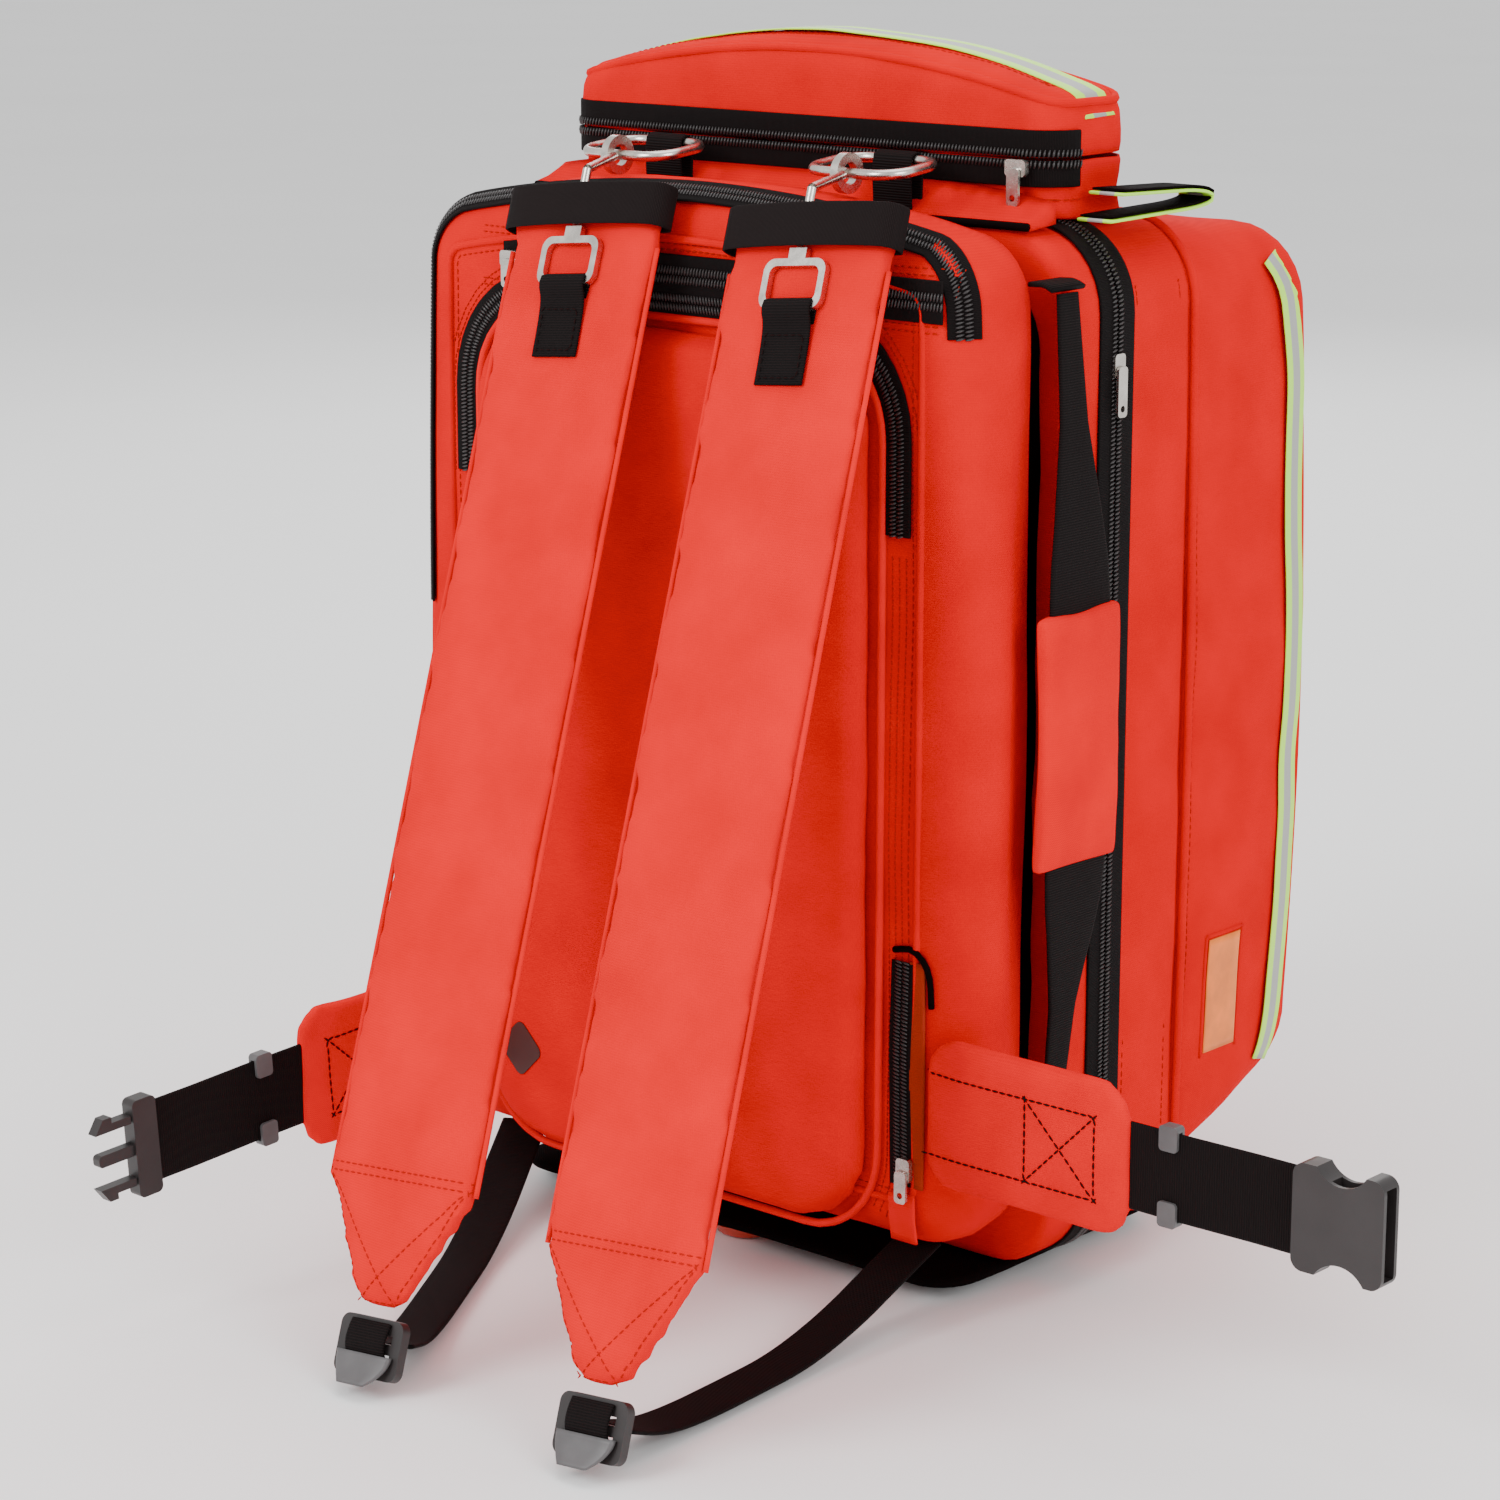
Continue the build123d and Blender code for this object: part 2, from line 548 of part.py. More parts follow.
with BuildPart() as buckle_male:
    with BuildSketch(BELT_PLANES["left"]):
        with Locations((BUCKLE_X + 7, 0)):
            RectangleRounded(14, BUCKLE_H, 3)
    extrude(amount=4, both=True)
    with BuildSketch(BELT_PLANES["left"]):
        with Locations((BUCKLE_X + 24, 0)):
            RectangleRounded(22, 6, 2)
    extrude(amount=2.5, both=True)
    extrude(tail_slot(BELT_PLANES["left"]), amount=WEB_T / 2 + GAP, both=True, mode=Mode.SUBTRACT)
write(buckle_male, "buckle_male")

PRONG_Y = 14
for side, name in ((-1, "lower"), (1, "upper")):
    with BuildPart() as prong:
        with BuildSketch(BELT_PLANES["left"]) as outline:
            with BuildLine():
                Polyline((BUCKLE_X + 14.6, side * PRONG_Y), (BUCKLE_X + 36, side * PRONG_Y),
                         (BUCKLE_X + 31, side * (PRONG_Y + 7)), (BUCKLE_X + 26, side * (PRONG_Y + 7)),
                         (BUCKLE_X + 26, side * (PRONG_Y + 4)), (BUCKLE_X + 14.6, side * (PRONG_Y + 4)),
                         close=True)
            make_face()
        extrude(amount=3, both=True)
    write(prong, f"prong_{name}")


# ---- zipper sliders -----------------------------------------------------------------
def slider(face, length, width):
    """Slider body lying on a face, long way along the face's local x."""
    with BuildPart() as piece:
        with BuildSketch(face):
            RectangleRounded(length, width, 2)
        extrude(amount=SLIDER_T)
    return piece


def pull_tab(face, reach):
    """Pull tab hanging down a face's local y, with a hole at its free end."""
    with BuildPart() as piece:
        with BuildSketch(face):
            with Locations((0, -reach / 2)):
                RectangleRounded(7, reach, 2)
            with Locations((0, 4 - reach)):
                Circle(1.6, mode=Mode.SUBTRACT)
        extrude(amount=1.5)
    return piece


SLIDER_FACES = {
    "window": Plane(origin=(-106, Y_CHAIN - GAP, 508), x_dir=(1, 0, 0), z_dir=(0, -1, 0)),
    "top": Plane(origin=(138, TOP_Y0 - CHAIN_T - GAP, 561), x_dir=(1, 0, 0), z_dir=(0, -1, 0)),
    "slot": Plane(origin=(150, Y_CHAIN - GAP, 93), x_dir=(0, 0, 1), z_dir=(0, -1, 0)),
    "main": Plane(origin=(HALF_W + GAP, -21, 470), x_dir=(0, 0, 1), z_dir=(1, 0, 0)),
}
PULL_REACH = {"window": 14, "top": 18, "slot": 16, "main": 24}
for name, face in SLIDER_FACES.items():
    zip_slider = slider(face, 12, 8)
    write(zip_slider, f"{name}_slider")
    pull_face = Plane(origin=face.origin + face.z_dir * (SLIDER_T + GAP), z_dir=face.z_dir,
                      x_dir=Vector(0, 0, 1).cross(face.z_dir))
    zip_pull = pull_tab(pull_face, PULL_REACH[name])
    write(zip_pull, f"{name}_pull")
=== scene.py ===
"""Looks of the trauma backpack. Layout numbers are millimetres measured from the bag's middle;
to_m() turns them into the frame's metres."""
import bpy
import bmesh
import math
import numpy as np
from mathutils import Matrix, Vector, noise
from mathutils.bvhtree import BVHTree


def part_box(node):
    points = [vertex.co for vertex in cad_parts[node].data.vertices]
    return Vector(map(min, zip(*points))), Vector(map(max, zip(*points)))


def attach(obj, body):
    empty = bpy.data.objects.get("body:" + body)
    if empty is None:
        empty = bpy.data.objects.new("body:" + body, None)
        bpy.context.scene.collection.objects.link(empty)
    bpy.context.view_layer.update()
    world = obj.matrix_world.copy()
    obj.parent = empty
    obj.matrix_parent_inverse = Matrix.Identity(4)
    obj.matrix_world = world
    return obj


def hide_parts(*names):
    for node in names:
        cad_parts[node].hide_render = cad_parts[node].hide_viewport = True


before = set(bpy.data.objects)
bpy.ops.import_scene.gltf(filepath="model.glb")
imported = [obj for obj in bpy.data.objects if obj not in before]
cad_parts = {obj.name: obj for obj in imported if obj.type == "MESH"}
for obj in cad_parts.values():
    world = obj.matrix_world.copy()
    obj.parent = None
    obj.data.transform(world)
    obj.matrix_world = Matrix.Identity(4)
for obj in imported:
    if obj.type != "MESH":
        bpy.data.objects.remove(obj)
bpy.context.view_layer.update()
scene = bpy.context.scene
SHIFT = np.array([0.0, 75.0, -11.0])


def to_m(v):
    """Layout millimetres to the frame's metres."""
    return (np.asarray(v, float) + SHIFT) / 1000


def to_mm(v):
    """The frame's metres to layout millimetres."""
    return np.asarray(v, float) * 1000 - SHIFT


def unit(v):
    """Vectors scaled to length 1, along the last axis."""
    v = np.asarray(v, float)
    return v / np.maximum(np.linalg.norm(v, axis=-1, keepdims=True), 1e-9)


# ---- camera and lights ----
def set_camera():
    """The camera fitted to the photo: azimuth 41.5, elevation 13.5 degrees."""
    data = bpy.data.cameras.new("camera")
    data.lens, data.sensor_width = 96, 36
    cam = bpy.data.objects.new("camera", data)
    cam.location = (1.2927, -1.4589, 0.7221)
    cam.rotation_euler = (math.radians(76.5), 0, math.radians(41.5))
    scene.collection.objects.link(cam)
    scene.camera = cam


def add_light(name, place, aim, size, power):
    """A round area lamp that looks at a point; size in metres, power in watts."""
    data = bpy.data.lights.new(name, "AREA")
    data.shape, data.size, data.energy = "DISK", size, power
    lamp = bpy.data.objects.new(name, data)
    lamp.location = place
    lamp.rotation_euler = (Vector(aim) - Vector(place)).to_track_quat("-Z", "Y").to_euler()
    scene.collection.objects.link(lamp)


set_camera()
AIM = (0, 0, 0.3)
add_light("key", (-0.6, -2.6, 2.0), AIM, 1.6, 62)
add_light("side", (2.8, -0.6, 1.5), AIM, 1.6, 40)
add_light("top", (0, 0.4, 3.0), AIM, 2.5, 34)
add_light("behind", (-1.6, 2.4, 1.8), AIM, 2.0, 26)
world = bpy.data.worlds.new("studio")
world.use_nodes = True
world.node_tree.nodes["Background"].inputs["Color"].default_value = (1, 1, 1, 1)
world.node_tree.nodes["Background"].inputs["Strength"].default_value = 1.0
scene.world = world


# ---- materials ----
class Nodes:
    """A small helper around one material's node tree."""

    def __init__(self, name):
        """A new material with its shader and its texture coordinates."""
        self.mat = bpy.data.materials.new(name)
        self.mat.use_nodes = True
        self.tree = self.mat.node_tree
        self.shader = self.tree.nodes["Principled BSDF"]
        self.coord = self.add("ShaderNodeTexCoord")

    def add(self, kind, **settings):
        """A new node of a kind."""
        node = self.tree.nodes.new(kind)
        for key, value in settings.items():
            setattr(node, key, value)
        return node

    def link(self, out, into):
        """Join an output to an input."""
        self.tree.links.new(out, into)

    def constant(self, **values):
        """Fixed values of the shader's inputs; _ stands for a space in a name."""
        for key, value in values.items():
            self.shader.inputs[key.replace("_", " ")].default_value = value

    def noise(self, scale, detail=2, source="Object"):
        """An uneven pattern from 0 to 1."""
        node = self.add("ShaderNodeTexNoise")
        node.inputs["Scale"].default_value = scale
        node.inputs["Detail"].default_value = detail
        self.link(self.coord.outputs[source], node.inputs["Vector"])
        return node.outputs["Fac"]

    def wave(self, scale, direction="DIAGONAL", source="Object", distortion=0.0):
        """A striped pattern from 0 to 1."""
        node = self.add("ShaderNodeTexWave", bands_direction=direction)
        node.inputs["Scale"].default_value = scale
        node.inputs["Distortion"].default_value = distortion
        self.link(self.coord.outputs[source], node.inputs["Vector"])
        return node.outputs["Fac"]

    def math(self, operation, a, b):
        """The result of an operation on two outputs or numbers."""
        node = self.add("ShaderNodeMath", operation=operation)
        for socket, value in zip(node.inputs, (a, b)):
            if isinstance(value, (int, float)):
                socket.default_value = value
            else:
                self.link(value, socket)
        return node.outputs[0]

    def ramp(self, fac, stops, mode="LINEAR"):
        """A colour looked up between stops of (place, colour)."""
        node = self.add("ShaderNodeValToRGB")
        node.color_ramp.interpolation = mode
        while len(node.color_ramp.elements) < len(stops):
            node.color_ramp.elements.new(0.5)
        for element, (place, colour) in zip(node.color_ramp.elements, stops):
            element.position, element.color = place, (*colour, 1)
        self.link(fac, node.inputs["Fac"])
        return node.outputs["Color"]

    def bump(self, height, strength, distance):
        """Fine relief of the surface."""
        node = self.add("ShaderNodeBump")
        node.inputs["Strength"].default_value = strength
        node.inputs["Distance"].default_value = distance
        self.link(height, node.inputs["Height"])
        self.link(node.outputs["Normal"], self.shader.inputs["Normal"])

    def colour(self, out):
        """Use an output as the shader's base colour."""
        self.link(out, self.shader.inputs["Base Color"])


def scaled(colour, k):
    """A colour made darker or lighter."""
    return tuple(min(1.0, c * k) for c in colour)


def fabric(name, colour, twill=520.0, strength=0.35):
    """Woven polyester: a fine diagonal twill crossed by a weft, with faint uneven dye."""
    n = Nodes(name)
    weave = n.math("ADD", n.math("MULTIPLY", n.wave(twill, distortion=0.6), 0.6),
                   n.math("MULTIPLY", n.wave(twill * 0.55, "Z"), 0.4))
    mottle = n.math("ADD", n.math("MULTIPLY", n.noise(28, 3), 0.7),
                    n.math("MULTIPLY", weave, 0.3))
    n.colour(n.ramp(mottle, [(0.25, scaled(colour, 0.82)), (0.75, scaled(colour, 1.12))]))
    n.bump(n.math("ADD", weave, n.math("MULTIPLY", n.noise(900), 0.4)), strength, 0.0004)
    n.constant(Roughness=0.82, Specular_IOR_Level=0.03)
    return n.mat


def webbing(name, colour, ribs=250.0):
    """Ribbed webbing; its ribs follow the strip's own length."""
    n = Nodes(name)
    rib = n.wave(ribs, "X", "UV")
    n.colour(n.ramp(rib, [(0.2, scaled(colour, 0.6)), (0.8, scaled(colour, 1.9))]))
    n.bump(n.math("ADD", rib, n.math("MULTIPLY", n.noise(1200), 0.5)), 0.6, 0.0006)
    n.constant(Roughness=0.75, Specular_IOR_Level=0.12)
    return n.mat


def plastic(name, colour, rough):
    """Moulded plastic, rubber or film with faintly uneven gloss."""
    n = Nodes(name)
    n.colour(n.ramp(n.noise(60, 4), [(0.3, scaled(colour, 0.85)), (0.7, scaled(colour, 1.2))]))
    n.bump(n.noise(1500, 3), 0.15, 0.0003)
    n.link(n.math("ADD", n.math("MULTIPLY", n.noise(40), 0.15), rough - 0.07),
           n.shader.inputs["Roughness"])
    return n.mat


def metal(name, colour):
    """Bright metal with uneven polish."""
    n = Nodes(name)
    n.colour(n.ramp(n.noise(120, 4), [(0.3, scaled(colour, 0.8)), (0.7, scaled(colour, 1.1))]))
    n.link(n.math("ADD", n.math("MULTIPLY", n.noise(300, 4), 0.22), 0.16),
           n.shader.inputs["Roughness"])
    n.bump(n.noise(700, 3), 0.12, 0.0002)
    n.constant(Metallic=1.0)
    return n.mat


def reflective():
    """Fluorescent tape with a silver centre; v runs across the strip."""
    n = Nodes("reflective_tape")
    split = n.add("ShaderNodeSeparateXYZ")
    n.link(n.coord.outputs["UV"], split.inputs[0])
    lime, silver = (0.50, 0.95, 0.06), (0.36, 0.36, 0.34)
    n.colour(n.ramp(split.outputs["Y"], [(0.0, lime), (0.29, silver), (0.71, lime)], "CONSTANT"))
    n.bump(n.math("ADD", n.wave(500, "X", "UV"), n.noise(900)), 0.25, 0.0003)
    n.constant(Roughness=0.5)
    return n.mat


RED_COLOUR = (0.68, 0.002, 0.004)
BLACK_COLOUR = (0.0035, 0.0016, 0.0016)
RED = fabric("red_twill", RED_COLOUR)
RED_PAD = fabric("red_twill_pads", (0.76, 0.006, 0.008))
RED_LINING = fabric("red_lining", (0.35, 0.03, 0.012), strength=0.5)
BLACK = fabric("black_canvas", BLACK_COLOUR, 400, 0.5)
WEB = webbing("black_webbing", BLACK_COLOUR)
ELASTIC = webbing("black_elastic", (0.006, 0.003, 0.003), 420)
TAPE = webbing("zipper_tape", (0.003, 0.0015, 0.0015), 420)
COIL = plastic("zipper_coil", (0.020, 0.016, 0.016), 0.32)
PLASTIC = plastic("buckle_plastic", (0.018, 0.014, 0.014), 0.42)
GREY_PLASTIC = plastic("keeper_plastic", (0.085, 0.080, 0.082), 0.45)
METAL = metal("nickel", (0.66, 0.62, 0.57))
ALUMINIUM = metal("aluminium", (0.78, 0.78, 0.79))
LIME = reflective()
THREAD = fabric("red_thread", (0.42, 0.010, 0.004), 900, 0.2)
BLACK_THREAD = fabric("black_thread", (0.015, 0.006, 0.006), 900, 0.2)
LABEL = plastic("label_film", (0.78, 0.17, 0.006), 0.4)
FOOT = plastic("foot_rubber", (0.50, 0.035, 0.012), 0.22)
PATCH = plastic("patch_rubber", (0.045, 0.010, 0.008), 0.55)
SHEET = plastic("frame_sheet", (0.10, 0.10, 0.10), 0.5)


# ---- mesh building ----
def add(name, verts, faces, mat, body, stands_for=(), slot=None, uv=None):
    """A new piece from layout millimetres that rides on a body."""
    mesh = bpy.data.meshes.new(name)
    mesh.from_pydata([tuple(v) for v in to_m(verts)], [], [tuple(int(i) for i in f) for f in faces])
    if uv is not None:
        layer = mesh.uv_layers.new(name="UVMap")
        index = np.zeros(len(mesh.loops), np.int32)
        mesh.loops.foreach_get("vertex_index", index)
        layer.data.foreach_set("uv", np.asarray(uv, np.float32)[index].ravel())
    work = bmesh.new()
    work.from_mesh(mesh)
    bmesh.ops.recalc_face_normals(work, faces=work.faces)
    work.to_mesh(mesh)
    work.free()
    return place(name, mesh, mat, body, stands_for, slot)


def place(name, mesh, mat, body, stands_for=(), slot=None):
    """A new object that rides on a body; the CAD parts it stands for, if given, are hidden. slot is not
    used.
    """
    mesh.materials.clear()
    mesh.materials.append(mat)
    mesh.polygons.foreach_set("use_smooth", [True] * len(mesh.polygons))
    piece = bpy.data.objects.new(name, mesh)
    scene.collection.objects.link(piece)
    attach(piece, body)
    if stands_for:
        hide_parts(*stands_for)
    return piece


def quads(rows, count, wrap=True, start=0, around=False):
    """Faces of a grid of rows x count points; wrap closes each row, around closes the rows."""
    faces = []
    for r in range(rows if around else rows - 1):
        a, b = start + r * count, start + ((r + 1) % rows) * count
        for i in range(count if wrap else count - 1):
            j = (i + 1) % count
            faces.append((a + i, a + j, b + j, b + i))
    return faces


def resample(path, step, *extra, closed=False):
    """Even points along a path, with any per-point vectors carried along."""
    arrays = [np.asarray(a, float) for a in (path, *extra)]
    if closed:
        arrays = [np.vstack([a, a[:1]]) for a in arrays]
    run = np.r_[0, np.cumsum(np.linalg.norm(np.diff(arrays[0], axis=0), axis=1))]
    count = max(2, int(round(run[-1] / step)) + 1)
    at = np.linspace(0, run[-1], count)
    if closed:
        at = at[:-1]
    out = [np.stack([np.interp(at, run, a[:, k]) for k in range(3)], 1) for a in arrays]
    return out[0] if not extra else out


def rounded(points, passes=3, closed=False):
    """Corner cutting, which turns a few points into a smooth path."""
    p = np.asarray(points, float)
    for _ in range(passes):
        nxt = np.roll(p, -1, 0) if closed else p[1:]
        cur = p if closed else p[:-1]
        cut = np.stack([0.75 * cur + 0.25 * nxt, 0.25 * cur + 0.75 * nxt], 1).reshape(-1, 3)
        p = cut if closed else np.vstack([p[:1], cut, p[-1:]])
    return p


def tangents(path, closed=False):
    """Directions along a path, one for each point."""
    if closed:
        return unit(np.roll(path, -1, 0) - np.roll(path, 1, 0))
    return unit(np.gradient(path, axis=0))


def spread(vector, path):
    """One vector for each point of a path, from one vector or one for every point."""
    v = np.asarray(vector, float)
    return np.repeat(v[None], len(path), 0) if v.ndim == 1 else v


# The section of a strip as (across, up), each from -1 to 1.
STRIP = [(-1, 0), (-0.97, 0.75), (-0.9, 1), (-0.45, 1), (0, 1), (0.45, 1), (0.9, 1), (0.97, 0.75),
         (1, 0), (0.97, -0.75), (0.9, -1), (0.45, -1), (0, -1), (-0.45, -1), (-0.9, -1),
         (-0.97, -0.75)]


def ribbon(name, path, across, width, thick, mat, body, closed=False, step=4, **more):
    """A flat strip with soft edges that follows a path; across is its width direction.
    width is one number, or one for every point of the path."""
    sizes = np.zeros((len(path), 3))
    sizes[:, 0] = width
    path, across, sizes = resample(path, step, spread(across, path), sizes, closed=closed)
    along = tangents(path, closed)
    across = unit(across - (across * along).sum(1, keepdims=True) * along)
    up = np.cross(along, across)
    rows, uvs = [], []
    run = 0.0
    for k, (p, a, u) in enumerate(zip(path, across, up)):
        if k:
            run += np.linalg.norm(p - path[k - 1]) / 1000
        for s, h in STRIP:
            rows.append(p + a * s * sizes[k, 0] / 2 + u * h * thick / 2)
            uvs.append((run, (s + 1) / 2))
    faces = quads(len(path), len(STRIP), around=closed)
    if not closed:
        faces += [tuple(range(len(STRIP))), tuple(range(len(rows) - len(STRIP), len(rows)))]
    return add(name, rows, faces, mat, body, uv=uvs, **more)


def tube(name, path, radius, mat, body, closed=False, step=5, sides=8, **more):
    """A round cord or piping along a path."""
    path = resample(path, step, closed=closed)
    along = tangents(path, closed)
    hint = np.array([0.31, 0.17, 0.94]) if abs(along[0][2]) < 0.9 else np.array([0.95, 0.2, 0.1])
    rows = []
    for t in along:
        side = unit(hint - t * (hint @ t))
        hint = side
        other = np.cross(t, side)
        rows.append([side * math.cos(a) * radius + other * math.sin(a) * radius
                     for a in np.linspace(0, 2 * math.pi, sides, endpoint=False)])
    verts = (path[:, None] + np.array(rows)).reshape(-1, 3)
    faces = quads(len(path), sides, around=closed)
    if not closed:
        faces += [tuple(range(sides)), tuple(range(len(verts) - sides, len(verts)))]
    return add(name, verts, faces, mat, body, **more)


def beads(centres, along, length, radius, sides=5):
    """Many short rounded bars, as verts and faces."""
    centres, along = np.asarray(centres, float), unit(along)
    hint = np.where(np.abs(along[:, 2:3]) < 0.9, [[0.0, 0.0, 1.0]], [[1.0, 0.0, 0.0]])
    side = unit(hint - along * (hint * along).sum(1, keepdims=True))
    other = np.cross(along, side)
    ring = np.linspace(0, 2 * math.pi, sides, endpoint=False)
    rows = []
    for t, r in ((-1, 0.45), (0, 1), (1, 0.45)):
        for a in ring:
            rows.append(centres + along * (t * length / 2)
                        + (side * math.cos(a) + other * math.sin(a)) * radius * r)
    verts = np.stack(rows, 1).reshape(-1, 3)
    pattern = quads(3, sides) + [tuple(range(sides)), tuple(range(2 * sides, 3 * sides))]
    size = 3 * sides
    faces = [tuple(i + k * size for i in f) for k in range(len(centres)) for f in pattern]
    return verts, faces


DRAPE_BACK, DRAPE_REACH = 0.04, 0.09    # where a draping ray starts and how far it looks, in metres
_TREES = {}


def tree_of(piece):
    """A search tree of a piece's faces, built once."""
    if piece.name not in _TREES:
        _TREES[piece.name] = BVHTree.FromPolygons([v.co.copy() for v in piece.data.vertices],
                                                  [tuple(p.vertices) for p in piece.data.polygons])
    return _TREES[piece.name]


def drape(path, piece, direction, lift=0.2):
    """Move each point along a direction onto a piece's surface; points that miss are kept."""
    out = []
    for p, d in zip(to_m(path), unit(spread(direction, path))):
        start = Vector(p - d * DRAPE_BACK)
        hit = tree_of(piece).ray_cast(start, Vector(d), DRAPE_REACH)[0]
        out.append(np.array(hit) - d * lift / 1000 if hit else p)
    return to_mm(out)


def stitches(name, path, mat, body, on=None, toward=None, length=2.7, pitch=4.0, radius=0.42,
             closed=False, lift=0.15):
    """A row of lock stitches along a path, laid on a piece if one is given."""
    path = resample(path, pitch, closed=closed)
    if on:
        path = drape(path, on, toward, lift)
    verts, faces = beads(path, tangents(path, closed), length, radius)
    return add(name, verts, faces, mat, body)


def teeth(name, path, across, normal, body, row=1.9, pitch=1.9):
    """One row of zipper coil: bars across the tape at one side of its middle."""
    path, across, normal = resample(path, pitch, spread(across, path), spread(normal, path))
    slant = unit(across + 0.25 * tangents(path))
    verts, faces = beads(path + across * row + normal * 0.9, slant, 4.0, 0.72)
    return add(name, verts, faces, COIL, body)


TAPE_T = 1.4       # zipper tape
COIL_ROW = 2.2     # from the zipper's middle to each row of coil


def zipper(name, path, across, normal, body, half, **more):
    """A closed zipper on one body: tape and both rows of coil."""
    ribbon(f"{name}_tape", path, across, 2 * half, TAPE_T, TAPE, body, **more)
    teeth(f"{name}_coil_a", path, across, normal, body, COIL_ROW)
    teeth(f"{name}_coil_b", path, across, normal, body, -COIL_ROW)


def half_zipper(name, body, tape_path, row, across, normal):
    """One half of a zipper that parts; the pack's half stands for the CAD chain."""
    extra = dict(stands_for=(f"{name}_zip_chain",), slot="zip_chain") if body == "pack" else {}
    ribbon(f"{name}_tape_{body}", tape_path, across, 12.6, TAPE_T, TAPE, body, **extra)
    teeth(f"{name}_coil_{body}", row, across, normal, body, 0.0, 2.1)


def outline(half_w, low, high, radius, crown=0.0, step=11.0):
    """A rounded outline and its outward normals, anticlockwise from the bottom's middle.
    It has a half width, a lower and an upper edge and a corner radius, and crown raises
    the middle of its upper edge into an arch."""
    bow = math.inf if crown <= 0 else (half_w ** 2 + crown ** 2) / (2 * crown)
    lean = 0.0 if crown <= 0 else math.asin(half_w / bow)

    def arch(x):
        """Height of the upper edge."""
        return high if crown <= 0 else high + crown - (bow - math.sqrt(bow ** 2 - x ** 2))

    end_x = half_w - radius + radius * math.sin(lean)
    top_z = arch(end_x) - radius * math.cos(lean)
    pts, nrm = [], []

    def line(a, b, normal):
        """A straight run from a to b."""
        count = max(2, int(math.dist(a, b) / step))
        for t in np.linspace(0, 1, count, endpoint=False):
            pts.append((a[0] + (b[0] - a[0]) * t, a[1] + (b[1] - a[1]) * t))
            nrm.append(normal)

    def corner(cx, cz, a0, a1):
        """A rounded corner about a centre, between two angles."""
        for a in np.linspace(a0, a1, 8, endpoint=False):
            pts.append((cx + radius * math.cos(a), cz + radius * math.sin(a)))
            nrm.append((math.cos(a), math.sin(a)))

    q = math.pi / 2
    line((0, low), (half_w - radius, low), (0, -1))
    corner(half_w - radius, low + radius, -q, 0)
    line((half_w, low + radius), (half_w, top_z), (1, 0))
    corner(half_w - radius, top_z, 0, q - lean)
    for x in np.linspace(end_x, -end_x, max(3, int(2 * end_x / step)), endpoint=False):
        pts.append((x, arch(x)))
        nrm.append((x / bow if crown > 0 else 0.0, 1.0))
    corner(radius - half_w, top_z, q + lean, 2 * q)
    line((-half_w, top_z), (-half_w, low + radius), (-1, 0))
    corner(radius - half_w, low + radius, 2 * q, 3 * q)
    line((radius - half_w, low), (0, low), (0, -1))
    return np.array(pts), unit(np.array(nrm))


def upright(pts, depth):
    """Outline in the bag's upright plane at a depth."""
    return np.stack([pts[:, 0], np.full(len(pts), float(depth)), pts[:, 1]], 1)


def level(pts, height):
    """Outline in a level plane at a height."""
    return np.stack([pts[:, 0], pts[:, 1], np.full(len(pts), float(height))], 1)


def run_of(base, a, b):
    """The part of an outline from the point nearest a to the point nearest b, anticlockwise."""
    pts, nrm = base
    ia = int(np.argmin(np.linalg.norm(pts - a, axis=1)))
    ib = int(np.argmin(np.linalg.norm(pts - b, axis=1)))
    index = np.arange(ia, ib + 1 if ib >= ia else ib + 1 + len(pts)) % len(pts)
    return pts[index], nrm[index]


def cap(ring, axis, lift, steps=12):
    """Rings that close an outline, each a smaller copy moved along an axis by lift(ring, s)."""
    middle = ring.mean(0)
    rings = []
    for s in np.linspace(1, 0.03, steps + 1)[1:]:
        r = middle + (ring - middle) * s
        r[:, axis] = ring[:, axis] + lift(r, s)
        rings.append(r)
    return rings


def flat(ring, s):
    """No lift: for a cap that lies in its outline's plane."""
    return 0.0


def crumple(verts, amount, size, seed=0.0, stretch=(1, 1, 1)):
    """Soft uneven dents, as an offset in millimetres for each point."""
    out = np.zeros(len(verts))
    scale = np.array(stretch) / size
    for k, v in enumerate(verts):
        q = Vector(v * scale) + Vector((seed, seed * 1.7, -seed))
        out[k] = noise.noise(q) * amount + noise.noise(q * 2.3) * amount * 0.4
    return out


def vectors(mesh, what):
    """One vector for each vertex, "co" or "normal", in metres."""
    out = np.zeros(len(mesh.vertices) * 3)
    mesh.vertices.foreach_get(what, out)
    return out.reshape(-1, 3)


def move(mesh, co):
    """Put a mesh's vertices at new places, in metres."""
    mesh.vertices.foreach_set("co", co.ravel())
    mesh.update()


def shell(name, rings, mat, body, dents=1.2, size=70, seed=1.0, stretch=(1, 1, 1), **more):
    """A closed skin through many rings, crumpled along its normals."""
    count = len(rings[0])
    verts = np.vstack(rings)
    faces = quads(len(rings), count)
    faces += [tuple(range(count)), tuple(range(len(verts) - count, len(verts)))]
    piece = add(name, verts, faces, mat, body, **more)
    co, normal = vectors(piece.data, "co"), vectors(piece.data, "normal")
    move(piece.data, co + normal * (crumple(to_mm(co), dents, size, seed, stretch) / 1000)[:, None])
    return piece


# ---- bag body ----
# Depths, from the wearer's side to the front pocket's face, then half widths and lower and
# upper edges.
Y_REAR, Y_JOIN_A, Y_JOIN_B, Y_RIM, Y_COVER, Y_SEAM, Y_FACE = -127, -78, -58, -24, -19, 42, 158
REAR_HALF, REAR_LOW, REAR_TOP = 178, 50, 530
MAIN_HALF, MAIN_LOW, MAIN_TOP = 183, 25, 535
COVER_LOW = 26
REAR = outline(REAR_HALF, REAR_LOW, REAR_TOP, 34, crown=20)
MAIN = outline(MAIN_HALF, MAIN_LOW, MAIN_TOP, 40)
ROLL = 24                 # radius of the rear compartment's rolled edge
Y_ROLL = Y_REAR + ROLL    # depth where the roll starts
REAR_BULGE = 9


